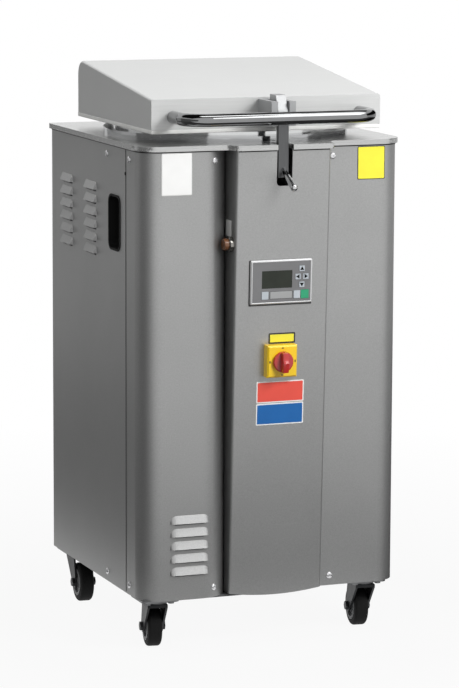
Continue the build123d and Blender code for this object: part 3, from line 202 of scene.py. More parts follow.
def plastic(name, colour, rough, grain=900, depth=0.12, tone=0.06, coat=0.0, matt=False):
    """Moulded plastic with a fine surface grain."""
    material, tree, shader, coords = new_material(name)
    skin = noise(tree, coords.outputs["Object"], scale=grain)
    slow = noise(tree, coords.outputs["Object"], scale=30, detail=2.0)
    tree.links.new(toned(tree, slow, colour, 1 - tone, 1 + tone), shader.inputs["Base Color"])
    roughen(tree, shader, skin, rough - 0.05, rough + 0.06)
    shader.inputs["Coat Weight"].default_value = coat
    shader.inputs["Specular IOR Level"].default_value = 0.2 if matt else 0.5
    bump(tree, shader, skin, strength=depth, distance=0.0002)
    return material


def sticker(name, colour, rough, tone):
    return plastic(name, colour, rough, grain=300, depth=0.02, tone=tone)


def galvanised(name, colour, rough):
    """Zinc plate: a soft spangle with dull patches."""
    material, tree, shader, coords = new_material(name)
    cells = tree.nodes.new("ShaderNodeTexVoronoi")
    cells.inputs["Scale"].default_value = 160
    tree.links.new(coords.outputs["Object"], cells.inputs["Vector"])
    dull = noise(tree, coords.outputs["Object"], scale=60, detail=4.0)
    spangle = toned(tree, cells.outputs["Distance"], colour, 0.86, 1.05, start=0.1, end=0.8)
    patch = toned(tree, dull, colour, 0.75, 1.05)
    tree.links.new(mixed(tree, 0.5, spangle, patch), shader.inputs["Base Color"])
    roughen(tree, shader, dull, rough - 0.08, rough + 0.12)
    shader.inputs["Metallic"].default_value = 0.9
    bump(tree, shader, dull, strength=0.1, distance=0.0003)
    return material


# Scratches run along the axis with the small number
GRAIN_X = (9, 420, 420)
GRAIN_Y = (900, 20, 900)
GRAIN_Z = (900, 900, 30)
SHORT_GRAIN_Z = (900, 900, 60)
COARSE_GRAIN_Z = (420, 420, 30)
EVEN_GRAIN = (600, 600, 600)

# One finish for each material slot of the solids
MATERIALS = {
    "cabinet_paint": paint("satin_grey_paint", (0.4, 0.402, 0.4), metallic=0.9, rough=0.44, flake=0.26),
    "frame_paint": paint("frame_grey_paint", (0.09, 0.092, 0.095), metallic=0.1, rough=0.5),
    "deck_steel": brushed(
        "brushed_sheet", (0.57, 0.575, 0.57), rough=0.36, grain=GRAIN_X, depth=0.05, metallic=0.35
    ),
    "polished_steel": polished("polished_steel", (0.66, 0.67, 0.67), rough=0.09),
    "bright_metal": polished("bright_chrome", (0.72, 0.73, 0.74), rough=0.06),
    "latch_steel": brushed("satin_bar_steel", (0.14, 0.143, 0.146), rough=0.34, grain=GRAIN_Z),
    "lid_alloy": brushed("sawn_alloy", (0.6, 0.6, 0.61), rough=0.42, grain=GRAIN_Y),
    "white_plastic": plastic("white_food_plastic", (0.84, 0.84, 0.82), rough=0.42),
    "black_plastic": plastic("black_moulding", (0.006, 0.006, 0.006), rough=0.6, matt=True),
    "machine_steel": brushed("ground_steel", (0.5, 0.5, 0.51), rough=0.25, grain=SHORT_GRAIN_Z),
    "hydraulic_paint": paint("dark_enamel", (0.05, 0.06, 0.075), metallic=0.0, rough=0.35),
    "box_plastic": plastic("enclosure_grey", (0.5, 0.5, 0.48), rough=0.5),
    "display_plastic": plastic("panel_moulding", (0.16, 0.16, 0.164), rough=0.42),
    "screen_glass": plastic(
        "dark_screen", (0.026, 0.03, 0.024), rough=0.3, grain=40, depth=0.0, tone=0.1, matt=True
    ),
    "key_grey": plastic("key_caps", (0.44, 0.475, 0.51), rough=0.5),
    "key_green": plastic("green_key_cap", (0.03, 0.3, 0.15), rough=0.45),
    "switch_yellow": plastic(
        "switch_yellow", (0.85, 0.56, 0.015), rough=0.33, grain=500, depth=0.06, tone=0.03, coat=0.2
    ),
    "knob_red": plastic(
        "knob_red", (0.42, 0.016, 0.014), rough=0.24, grain=500, depth=0.06, tone=0.05, coat=0.8
    ),
    "button_brown": plastic(
        "button_brown", (0.13, 0.05, 0.018), rough=0.25, grain=500, depth=0.05, tone=0.08, coat=0.5
    ),
    "caster_zinc": galvanised("zinc_plate", (0.33, 0.335, 0.34), rough=0.4),
    "wheel_grey": plastic("wheel_centre_grey", (0.24, 0.245, 0.25), rough=0.5),
    "tyre_black": plastic(
        "tyre_rubber", (0.006, 0.006, 0.006), rough=0.7, grain=700, depth=0.25, tone=0.1, matt=True
    ),
}

# Finishes of nodes that differ from the rest of their slot, by the start of the node's name
OWN_FINISH = {
    "latch_bracket": brushed(
        "bracket_sheet",
        (0.34, 0.345, 0.35),
        rough=0.4,
        grain=COARSE_GRAIN_Z,
        depth=0.06,
        tone=0.08,
        metallic=0.4,
    ),
    "top_deck": brushed(
        "deck_sheet", (0.53, 0.534, 0.53), rough=0.24, grain=GRAIN_X, depth=0.04, tone=0.06, metallic=0.9
    ),
    "bowl_ring": polished("turned_ring", (0.45, 0.455, 0.46), rough=0.08),
    # The latch arm's head is painted lighter than its foot, as a painted highlight
    "latch_arm": bar_with_painted_highlight(
        "drawn_bar_steel",
        foot=(0.13, 0.132, 0.135),
        head=(0.33, 0.334, 0.337),
        start=0.74,
        end=0.84,
        rough=0.34,
        grain=GRAIN_Z,
    ),
    "button_bezel": polished("bezel_chrome", (0.3, 0.29, 0.27), rough=0.12),
    "latch_peg": polished("peg_steel", (0.6, 0.605, 0.61), rough=0.12),
    "lid_handle": polished("handle_chrome", (0.26, 0.263, 0.266), rough=0.06),
    # The caster forks take a dark copy of the caster zinc, which paints the shade they stand in under the
    # cabinet
    "caster_fork": galvanised("shaded_fork_zinc", (0.04, 0.041, 0.043), rough=0.42),
}
for part in frame["record"]["subparts"]:
    owner = nodes[part["node"]]
    finish = MATERIALS[part["material_slot"]]
    for start, own in OWN_FINISH.items():
        if part["node"].startswith(start):
            finish = own
    owner.data.materials.clear()
    owner.data.materials.append(finish)

# Soft folded edges on the sheet and bar pieces, with the width of the rounding
SOFT_EDGES = {
    "lid_cover": 0.0016,
    "lid_press_plate": 0.0012,
    "top_deck": 0.0014,
    "latch_bracket": 0.0008,
    "latch_arm": 0.0008,
}
WELD_DISTANCE = 0.00001
FOLD_ANGLE = math.radians(40)
for node, width in SOFT_EDGES.items():
    weld = nodes[node].modifiers.new("weld", "WELD")
    weld.merge_threshold = WELD_DISTANCE
    bevel = nodes[node].modifiers.new("edge", "BEVEL")
    bevel.width = width
    bevel.segments = 2
    bevel.limit_method = "ANGLE"
    bevel.angle_limit = FOLD_ANGLE


# Small pieces made in mesh code
class Place:
    """A spot on a surface: its origin, the directions to the right and up, and out of the surface."""

    def __init__(self, origin, right, up):
        self.origin = Vector(origin)
        self.right = Vector(right).normalized()
        self.up = Vector(up).normalized()
        self.out = self.right.cross(self.up)

    def point(self, x, y, z):
        return self.origin + self.right * x + self.up * y + self.out * z

    def moved(self, x, y, z=0.0):
        return Place(self.point(x, y, z), self.right, self.up)


def front_place(x, y, z):
    """A spot on an upright surface that faces the front."""
    return Place((x, y, z), RIGHT, UP)


def side_place(side, y, z):
    """A spot on the cabinet's left side (-1) or right side (1)."""
    return Place((side * SIDE_X, y, z), (0, side, 0), UP)


def face_point(x, z):
    """A point on the console's tilted face."""
    return Vector((x, FRONT_Y - FACE_PROUD - (z - PANEL_BOTTOM) * math.tan(FACE_SLOPE), z))


def console_place(x, z):
    return Place(face_point(x, z), RIGHT, FACE_UP)


def rounded_outline(width, height, radius, steps=6):
    """Corner points of a rectangle with round corners, anticlockwise."""
    points = []
    for sx, sy, start in ((1, 1, 0), (-1, 1, 90), (-1, -1, 180), (1, -1, 270)):
        for step in range(steps + 1):
            angle = math.radians(start + 90 * step / steps)
            x = sx * (width / 2 - radius) + radius * math.cos(angle)
            y = sy * (height / 2 - radius) + radius * math.sin(angle)
            points.append((x, y))
    return points


def bridge(bm, lower, upper):
    """A band of faces between two loops of points."""
    count = len(lower)
    for i in range(count):
        bm.faces.new((lower[i], lower[(i + 1) % count], upper[(i + 1) % count], upper[i]))


def closed_form(bm, loops):
    """A closed skin over a row of loops, with a face on both ends."""
    bm.faces.new(list(reversed(loops[0])))
    for lower, upper in zip(loops, loops[1:]):
        bridge(bm, lower, upper)
    bm.faces.new(loops[-1])


# The middle of a slab's rounded rim, as a share of the rim's width
RIM_MIDDLE = 0.3


def add_slab(bm, place, outline, base, top, edge):
    """A closed slab on a surface, with a rounded rim."""
    longest = max(abs(x) for x, y in outline)
    tallest = max(abs(y) for x, y in outline)
    middle = edge * RIM_MIDDLE
    rings = ((0.0, base), (0.0, top - edge), (middle, top - middle), (edge, top))
    loops = []
    for inset, height in rings:
        fx = (longest - inset) / longest
        fy = (tallest - inset) / tallest
        loops.append([bm.verts.new(place.point(x * fx, y * fy, height)) for x, y in outline])
    closed_form(bm, loops)


def add_turned(bm, place, profile, sides):
    """A turned form about the outward direction, from (radius, height) pairs, base first."""
    turns = [2 * math.pi * i / sides for i in range(sides)]
    loops = []
    for radius, height in profile:
        ring = [place.point(radius * math.cos(turn), radius * math.sin(turn), height) for turn in turns]
        loops.append([bm.verts.new(point) for point in ring])
    closed_form(bm, loops)


def add_object(name, data):
    item = bpy.data.objects.new(name, data)
    bpy.context.scene.collection.objects.link(item)
    return item


def finish_piece(name, bm, material, body, smooth_angle=32):
    mesh = bpy.data.meshes.new(name)
    bm.normal_update()
    bm.to_mesh(mesh)
    bm.free()
    mesh.materials.append(material)
    for polygon in mesh.polygons:
        polygon.use_smooth = True
    mesh.set_sharp_from_angle(angle=math.radians(smooth_angle))
    piece = add_object(name, mesh)
    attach(piece, body)
    return piece


def plate(name, place, size, radius, top, material, base=0.0, edge=0.0002):
    """A thin plate on the cabinet, with round corners."""
    bm = bmesh.new()
    add_slab(bm, place, rounded_outline(*size, radius), base, top, edge)
    finish_piece(name, bm, material, "cabinet", smooth_angle=12)


# Blank plates where the real machine carries signs
STICKER = {
    "white": sticker("sticker_white", (0.82, 0.82, 0.81), rough=0.35, tone=0.02),
    "yellow": sticker("sticker_yellow", (0.78, 0.72, 0.055), rough=0.35, tone=0.03),
    "red": sticker("sticker_red", (0.74, 0.085, 0.06), rough=0.35, tone=0.03),
    "blue": sticker("sticker_blue", (0.006, 0.115, 0.37), rough=0.35, tone=0.04),
    "pale": sticker("sticker_pale", (0.7, 0.7, 0.69), rough=0.35, tone=0.02),
    "dark": sticker("sticker_dark", (0.02, 0.02, 0.02), rough=0.4, tone=0.05),
    "silver": sticker("legend_silver", (0.62, 0.62, 0.61), rough=0.4, tone=0.03),
}
# Each blank has its place, width, height and border, the colours of its rim and field, and its slot
BLANKS = {
    "cover_blank": (
        front_place(-0.205, COVER_Y, 0.9365), 0.062, 0.081, 0.0016, "pale", "white", "white_plastic"
    ),
    "panel_blank": (
        front_place(0.2075, FRONT_Y, 0.944), 0.058, 0.065, 0.0014, "dark", "yellow", "switch_yellow"
    ),
    "yellow_blank": (
        console_place(0.0075, 0.6125), 0.0555, 0.021, 0.003, "dark", "yellow", "switch_yellow"
    ),
    "red_blank": (console_place(0.0062, 0.5068), 0.099, 0.0425, 0.0022, "white", "red", "knob_red"),
    "blue_blank": (console_place(0.0062, 0.4628), 0.099, 0.0425, 0.0022, "white", "blue", "box_plastic"),
}
RIM_CORNER, RIM_TOP = 0.0022, 0.0005
FIELD_CORNER, FIELD_BASE, FIELD_TOP = 0.0015, 0.0003, 0.0007
LEGEND = Place((-0.092, -0.2361, 0.8275), (0, -1, 0), UP)
LEGEND_SIZE = (0.027, 0.031)
LEGEND_CORNER, LEGEND_TOP = 0.0015, 0.0008


def make_plates():
    for name, (place, width, height, border, rim, field, slot) in BLANKS.items():
        plate(f"{name}_rim", place, (width, height), RIM_CORNER, RIM_TOP, STICKER[rim])
        inner = (width - 2 * border, height - 2 * border)
        plate(f"{name}_field", place, inner, FIELD_CORNER, FIELD_TOP, STICKER[field], base=FIELD_BASE)
    silver = STICKER["silver"]
    plate("button_legend", LEGEND, LEGEND_SIZE, LEGEND_CORNER, LEGEND_TOP, silver)


# Display: a dark seal round it, set low and to the left so that it also paints the bezel's shadow there, a
# bevelled silver bezel, the label strip and the arrows on the keys
DISPLAY = console_place(0.0025, 0.724)
DISPLAY_WIDTH, DISPLAY_HEIGHT = 0.128, 0.086
DISPLAY_CORNER = 0.0025
DISPLAY_LIP = 0.005
# Set low and to the left, the seal shows as a thin dark rim, widest at the left and the bottom, where it
# is a painted shadow of the bezel
SHADOW_SEAL = DISPLAY.moved(-0.0007, -0.0015)
SHADOW_SEAL_SIZE = (0.1304, 0.0896)
SHADOW_SEAL_CORNER, SHADOW_SEAL_TOP, SHADOW_SEAL_EDGE = 0.0015, 0.0016, 0.0004
# The bezel's section: how far in from the display's edge, and how high
BEZEL_SECTION = (
    (-0.0002, 0.0012),
    (-0.0002, 0.0028),
    (0.0020, 0.0056),
    (0.0030, 0.0056),
    (0.0036, DISPLAY_LIP),
)
BEZEL_CORNER = 0.0008
LABEL = DISPLAY.moved(-0.0006, -0.0256, DISPLAY_LIP)
LABEL_SIZE = (0.0450, 0.0136)
LABEL_CORNER, LABEL_BASE, LABEL_TOP = 0.0006, 0.0002, 0.0005
LABEL_EDGE_SIZE = (0.0474, 0.0152)
LABEL_EDGE_CORNER, LABEL_EDGE_TOP = 0.0008, 0.0003


def make_display():
    plate(
        "display_seal_and_shadow",
        SHADOW_SEAL,
        SHADOW_SEAL_SIZE,
        SHADOW_SEAL_CORNER,
        SHADOW_SEAL_TOP,
        STICKER["dark"],
        edge=SHADOW_SEAL_EDGE,
    )
    silver = brushed(
        "bezel_silver",
        (0.66, 0.665, 0.67),
        rough=0.36,
        grain=SHORT_GRAIN_Z,
        depth=0.04,
        tone=0.05,
        metallic=0.3,
    )
    bm = bmesh.new()
    loops = []
    for inset, height in BEZEL_SECTION:
        corner = max(DISPLAY_CORNER - inset, BEZEL_CORNER)
        ring = rounded_outline(DISPLAY_WIDTH - 2 * inset, DISPLAY_HEIGHT - 2 * inset, corner)
        loops.append([bm.verts.new(DISPLAY.point(x, y, height)) for x, y in ring])
    for lower, upper in zip(loops, loops[1:] + loops[:1]):
        bridge(bm, lower, upper)
    finish_piece("display_bezel", bm, silver, "cabinet", smooth_angle=25)
    edge = plastic("label_edge", (0.08, 0.08, 0.082), rough=0.45, grain=400, depth=0.03, tone=0.03)
    plate("label_edge", LABEL, LABEL_EDGE_SIZE, LABEL_EDGE_CORNER, LABEL_EDGE_TOP, edge)
    strip = plastic("label_strip", (0.32, 0.323, 0.325), rough=0.45, grain=400, depth=0.03, tone=0.03)
    plate("label_strip", LABEL, LABEL_SIZE, LABEL_CORNER, LABEL_TOP, strip, base=LABEL_BASE)


# Arrows by key: the key's middle on the display, and the turn in degrees
ARROWS = {
    "key_up": (0.042, 0.0246, 90),
    "key_down": (0.042, -0.0066, 270),
    "key_left": (0.0338, 0.009, 180),
    "key_right": (0.0502, 0.009, 0),
}
ARROW = ((0.0042, 0.0), (-0.0030, 0.0043), (-0.0030, -0.0043))
ARROW_BASE, ARROW_TOP, ARROW_EDGE = -0.0003, 0.00012, 0.00005
KEY_RISE = 0.001
KEY_TOP = DISPLAY_LIP + KEY_RISE


def make_arrows():
    ink = plastic("key_ink", (0.003, 0.003, 0.003), rough=0.7, grain=600, depth=0.02, tone=0.05, matt=True)
    for key, (x, y, turn) in ARROWS.items():
        cos, sin = math.cos(math.radians(turn)), math.sin(math.radians(turn))
        outline = [(px * cos - py * sin, px * sin + py * cos) for px, py in ARROW]
        bm = bmesh.new()
        add_slab(bm, DISPLAY.moved(x, y, KEY_TOP), outline, ARROW_BASE, ARROW_TOP, ARROW_EDGE)
        finish_piece(f"arrow_{key}", bm, ink, key)


# Mains switch: ticks on the housing, and a knob of a round disc with a stepped grip bar
SWITCH = console_place(0.002, 0.570)
SWITCH_DEPTH = 0.020
# Ticks: place on the housing's face, width and height
TICKS = {
    "tick_top": (0.0, 0.0265, 0.0046, 0.0020),
    "tick_left": (-0.0262, 0.0, 0.0022, 0.0048),
    "tick_right": (0.0262, 0.0, 0.0022, 0.0048),
    "tick_bottom": (0.0, -0.0265, 0.0046, 0.0020),
}
TICK_CORNER, TICK_BASE, TICK_TOP, TICK_EDGE = 0.0003, -0.0002, 0.0002, 0.0001
KNOB_GAP = 0.0004
KNOB = SWITCH.moved(0, 0, SWITCH_DEPTH + KNOB_GAP)
KNOB_DISC = [(0.0203, 0.0), (0.0205, 0.0006)]
KNOB_HEIGHT = 0.007
KNOB_FLAT = 0.0183
KNOB_ROUND = 0.0022
KNOB_STEPS = 5
# The grip's sections from its upper to its lower end: place along it, half width and height
GRIP = (
    (0.0200, 0.0052, 0.0130),
    (0.0186, 0.0064, 0.0166),
    (0.0100, 0.0068, 0.0188),
    (0.0012, 0.0070, 0.0207),
    (0.0, 0.0070, 0.0220),
    (-0.0100, 0.0068, 0.0210),
    (-0.0186, 0.0064, 0.0196),
    (-0.0200, 0.0052, 0.0150),
)
GRIP_BASE = KNOB_HEIGHT - 0.001
# The round of the grip's top edges: steps in from the side, and down from the top
GRIP_EDGE = ((0.0005, 0.0016), (0.0010, 0.0005), (0.0022, 0.0))


def make_switch():
    for name, (x, y, width, height) in TICKS.items():
        plate(
            name,
            SWITCH.moved(x, y, SWITCH_DEPTH),
            (width, height),
            TICK_CORNER,
            TICK_TOP,
            STICKER["dark"],
            base=TICK_BASE,
            edge=TICK_EDGE,
        )
    bm = bmesh.new()
    disc = list(KNOB_DISC)
    for step in range(KNOB_STEPS + 1):
        angle = math.radians(90 * step / KNOB_STEPS)
        height = KNOB_HEIGHT - KNOB_ROUND + KNOB_ROUND * math.sin(angle)
        disc.append((KNOB_FLAT + KNOB_ROUND * math.cos(angle), height))
    add_turned(bm, KNOB, disc, sides=48)
    loops = []
    for y, half, height in GRIP:
        left = [(-half, GRIP_BASE)] + [(inset - half, height - drop) for inset, drop in GRIP_EDGE]
        section = left + [(-x, z) for x, z in reversed(left)]
        loops.append([bm.verts.new(KNOB.point(x, y, z)) for x, z in section])
    closed_form(bm, loops)
    grip = finish_piece("knob_grip", bm, MATERIALS["knob_red"], "mains_knob", smooth_angle=40)
    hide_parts("mains_knob")


# Panel screws: low domes with a round recess, in place of the plain heads
BULLNOSE = 0.062
BULLNOSE_ANGLE = 62
BULLNOSE_LIP = 0.003
NOSE_X = -0.094
NOSE_BEND = math.radians(BULLNOSE_ANGLE)
NOSE_START_X = NOSE_X - BULLNOSE * math.sin(NOSE_BEND) - BULLNOSE_LIP * math.cos(NOSE_BEND)
NOSE_SCREW_X = 0.025
NOSE_TURN = math.asin(NOSE_SCREW_X / BULLNOSE)
SCREW_LEVELS = (0.125, 0.960)
SIDE_SETBACKS = (0.186, 0.055)
FRONT_SCREW_X = 0.126
BACK_SCREW_X = 0.225
# Radius and height along a head's profile
SCREW_RIM = [(0.0066, -0.0002), (0.0066, 0.0006)]
SCREW_RECESS = [(0.0023, 0.0033), (0.0021, 0.0012)]
DOME_RADIUS = 0.0067
DOME_BASE = 0.0006
DOME_RISE = 0.0028
DOME_START, DOME_TURN, DOME_STEPS = 10, 60, 7


def screw_places():
    places = []
    nose_right = (math.cos(NOSE_TURN), math.sin(NOSE_TURN), 0)
    for z in SCREW_LEVELS:
        for side in (-1, 1):
            for setback in SIDE_SETBACKS:
                places.append(side_place(side, FRONT_Y + setback, z))
            places.append(Place((side * BACK_SCREW_X, BACK_Y, z), (-1, 0, 0), UP))
        places.append(front_place(FRONT_SCREW_X, FRONT_Y, z))
        nose = (NOSE_START_X + NOSE_SCREW_X, COVER_Y + BULLNOSE * (1 - math.cos(NOSE_TURN)), z)
        places.append(Place(nose, nose_right, UP))
    return places


def make_screws():
    dome = []
    for step in range(1, DOME_STEPS + 1):
        angle = math.radians(DOME_START + DOME_TURN * step / DOME_STEPS)
        dome.append((DOME_RADIUS * math.cos(angle), DOME_BASE + DOME_RISE * math.sin(angle)))
    bm = bmesh.new()
    for place in screw_places():
        add_turned(bm, place, SCREW_RIM + dome + SCREW_RECESS, sides=24)
    zinc = brushed(
        "screw_zinc", (0.74, 0.74, 0.75), rough=0.24, grain=EVEN_GRAIN, depth=0.03, tone=0.05, metallic=0.8
    )
    heads = finish_piece("screw_heads", bm, zinc, "cabinet", smooth_angle=40)
    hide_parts("panel_screws")


# Dark strips that paint shade: a line under the deck's edge all round, where its shadow falls, and strips
# along the side seams, where the gaps' shade falls, each seam with a small catch
CORNER = 0.045
BACK_CORNER = 0.010
CONSOLE_LEFT, CONSOLE_RIGHT = -0.092, 0.102
SLOT_LEFT, SLOT_RIGHT = -0.010, 0.022
CONSOLE_GAP = 0.003
SLOT_GAP = 0.001
PANEL_GAP = 0.0015
LINE_LOW, LINE_HIGH = PANEL_TOP - 0.0026, PANEL_TOP - 0.0001
LINE_MIDDLE = PANEL_TOP - 0.0013
LINE_SINK, LINE_PROUD = 0.0004, 0.0007
SEAM_SETBACK = 0.075
SEAM_Y = FRONT_Y + SEAM_SETBACK
SEAM_WIDTH = 0.0030
SEAM_LENGTH = PANEL_TOP - PANEL_BOTTOM - 0.006
SEAM_CORNER = 0.0008
SEAM_BASE, SEAM_TOP, SEAM_EDGE = -0.0006, 0.0004, 0.0003
CATCH_Y, CATCH_Z = SEAM_Y + 0.002, 0.931
CATCH = ((0.0034, -0.0003), (0.0034, 0.0007), (0.0028, 0.0012), (0.0012, 0.0014))
FORWARD = Vector((0, -1))
BEND_STEPS = 10


def bend(centre, radius, start, end):
    """Points and outward directions along an arc, in plan."""
    points = []
    for step in range(BEND_STEPS + 1):
        angle = math.radians(start + (end - start) * step / BEND_STEPS)
        out = Vector((math.cos(angle), math.sin(angle)))
        points.append((Vector(centre) + out * radius, out))
    return points


def add_line(bm, path):
    """A strip on edge along a plan path, from a little inside the skin to a little proud of it."""
    loops = []
    for point, out in path:
        inner, outer = point - out * LINE_SINK, point + out * LINE_PROUD
        section = ((inner, LINE_LOW), (outer, LINE_LOW), (outer, LINE_HIGH), (inner, LINE_HIGH))
        loops.append([bm.verts.new((*spot, z)) for spot, z in section])
    closed_form(bm, loops)


def make_shade_lines():
    shade_dark = plastic(
        "painted_shade_dark", (0.012, 0.012, 0.012), rough=0.6, grain=700, depth=0.1, tone=0.08, matt=True
    )
    skin = bend((NOSE_START_X, COVER_Y + BULLNOSE), BULLNOSE, 270 + BULLNOSE_ANGLE, 270)
    skin += bend((CORNER - SIDE_X, COVER_Y + CORNER), CORNER, 270, 180)
    skin += bend((BACK_CORNER - SIDE_X, BACK_Y - BACK_CORNER), BACK_CORNER, 180, 90)
    skin += bend((SIDE_X - BACK_CORNER, BACK_Y - BACK_CORNER), BACK_CORNER, 90, 0)
    skin += bend((SIDE_X - CORNER, FRONT_Y + CORNER), CORNER, 0, -90)
    skin.append((Vector((CONSOLE_RIGHT + PANEL_GAP, FRONT_Y)), FORWARD))
    # The line under the deck's edge paints the deck's shadow on the panels
    bm = bmesh.new()
    add_line(bm, skin)
    face_y = face_point(0, LINE_MIDDLE).y
    for left, right in (
        (CONSOLE_LEFT + CONSOLE_GAP, SLOT_LEFT - SLOT_GAP),
        (SLOT_RIGHT + SLOT_GAP, CONSOLE_RIGHT - CONSOLE_GAP),
    ):
        add_line(bm, [(Vector((x, face_y)), FORWARD) for x in (left, right)])
    bmesh.ops.recalc_face_normals(bm, faces=bm.faces)
    finish_piece("deck_shadow_line", bm, shade_dark, "cabinet", smooth_angle=25)
    # Strips on the side seams paint the shade in their gaps, and the small catches sit on them
    bm = bmesh.new()
    strip = rounded_outline(SEAM_WIDTH, SEAM_LENGTH, SEAM_CORNER, steps=3)
    for side in (-1, 1):
        seam = side_place(side, SEAM_Y, (PANEL_BOTTOM + PANEL_TOP) / 2)
        add_slab(bm, seam, strip, SEAM_BASE, SEAM_TOP, SEAM_EDGE)
        add_turned(bm, side_place(side, CATCH_Y, CATCH_Z), CATCH, sides=20)
    finish_piece("seam_shade_strips_and_catches", bm, shade_dark, "cabinet", smooth_angle=25)


# Rounded skins over the five louvres at the foot of the left cover
LOUVRE_X = -0.177
LOUVRE_TOP = 0.2575
LOUVRE_PITCH = 0.0254
LOUVRE_COUNT = 5
LOUVRE_HALF = 0.040
# The ends: their length, the power of their curve (2 is an ellipse) and its steps
LOUVRE_END = 0.016
LOUVRE_ROUND = 2.5
LOUVRE_STEPS = 8
# The height, and the share of it that is left at the ends
LOUVRE_RISE = 0.0153
LOUVRE_HEEL = 0.1
LOUVRE_CREST = 0.00045
LOUVRE_MOUTH = 0.00735
LOUVRE_SKIN = 0.0014
LOUVRE_SINK = 0.0004


def louvre_sections():
    """Places along a louvre, each with how full it is there: both ends are round."""
    flat = LOUVRE_HALF - LOUVRE_END
    right = []
    for step in range(LOUVRE_STEPS + 1):
        along = math.sin(math.pi / 2 * step / LOUVRE_STEPS)
        full = (1 - along ** LOUVRE_ROUND) ** (1 / LOUVRE_ROUND)
        right.append((flat + LOUVRE_END * along, full))
    return [(-x, full) for x, full in reversed(right)] + right


def make_louvres():
    bm = bmesh.new()
    for row in range(LOUVRE_COUNT):
        place = front_place(LOUVRE_X, COVER_Y, LOUVRE_TOP - row * LOUVRE_PITCH)
        loops = []
        for x, full in louvre_sections():
            top = LOUVRE_RISE * (LOUVRE_HEEL + (1 - LOUVRE_HEEL) * full)
            mouth = LOUVRE_MOUTH * full
            inside = max(mouth - LOUVRE_SKIN, -LOUVRE_SINK)
            section = (
                (top, LOUVRE_CREST * full),
                (-LOUVRE_SINK, mouth),
                (-LOUVRE_SINK, inside),
                (top, -LOUVRE_SINK),
            )
            loops.append([bm.verts.new(place.point(x, y, out)) for y, out in section])
        closed_form(bm, loops)
    bmesh.ops.recalc_face_normals(bm, faces=bm.faces)
    finish_piece("louvre_skins", bm, MATERIALS["cabinet_paint"], "cabinet")


# Camera, from the fit of the photo's straight edges
AZIMUTH = math.radians(21.09)
ELEVATION = math.radians(8.89)
ROLL = math.radians(0.230)
TARGET = Vector((0.017, CABINET_Y, 0.555))
DISTANCE = 6.571
LENS = 169.4
SENSOR = 36.0
CLIP_END = 60


def make_camera():
    level = math.cos(ELEVATION)
    look = Vector((math.sin(AZIMUTH) * level, math.cos(AZIMUTH) * level, -math.sin(ELEVATION)))
    right = Vector((math.cos(AZIMUTH), -math.sin(AZIMUTH), 0))
    up = right.cross(look)
    right_rolled = right * math.cos(ROLL) + up * math.sin(ROLL)
    up_rolled = up * math.cos(ROLL) - right * math.sin(ROLL)
    data = bpy.data.cameras.new("camera")
    data.sensor_fit = "VERTICAL"
    data.sensor_height = SENSOR
    data.lens = LENS
    data.clip_end = CLIP_END
    camera = add_object("camera", data)
    turn = Matrix((right_rolled, up_rolled, -look)).transposed().to_4x4()
    camera.matrix_world = Matrix.Translation(TARGET - look * DISTANCE) @ turn
    bpy.context.scene.camera = camera


# Background, floor, cards and lamps
WHITE = (1, 1, 1, 1)
WORLD_LIGHT = 0.16
WORLD_SEEN = 1.0
FLOOR_HALF = 9.0
FLOOR_GREY = (0.3, 0.3, 0.3, 1)
FLOOR_GLOW = 1.0
# The floor is a little matt near the part, where shadows show, and all white further out
FADE_NEAR, FADE_FAR = 0.5, 2.2
FADE_LOW, FADE_HIGH = 0.93, 1.0


def seen_directly(tree):
    """A value of 1 for rays from the camera, from glossy and from clear surfaces."""
    path = tree.nodes.new("ShaderNodeLightPath")
    first = tree.nodes.new("ShaderNodeMath")
    first.operation = "MAXIMUM"
    second = tree.nodes.new("ShaderNodeMath")
    second.operation = "MAXIMUM"
    tree.links.new(path.outputs["Is Camera Ray"], first.inputs[0])
    tree.links.new(path.outputs["Is Glossy Ray"], first.inputs[1])
    tree.links.new(first.outputs[0], second.inputs[0])
    tree.links.new(path.outputs["Is Transmission Ray"], second.inputs[1])
    return second.outputs[0]


def make_world():
    world = bpy.data.worlds.new("studio")
    world.use_nodes = True
    bpy.context.scene.world = world
    tree = world.node_tree
    lit = tree.nodes["Background"]
    lit.inputs["Color"].default_value = WHITE
    lit.inputs["Strength"].default_value = WORLD_LIGHT
    seen = tree.nodes.new("ShaderNodeBackground")
    seen.inputs["Color"].default_value = WHITE
    seen.inputs["Strength"].default_value = WORLD_SEEN
    mix = tree.nodes.new("ShaderNodeMixShader")
    tree.links.new(seen_directly(tree), mix.inputs["Fac"])
    tree.links.new(lit.outputs[0], mix.inputs[1])
    tree.links.new(seen.outputs[0], mix.inputs[2])
    tree.links.new(mix.outputs[0], tree.nodes["World Output"].inputs["Surface"])


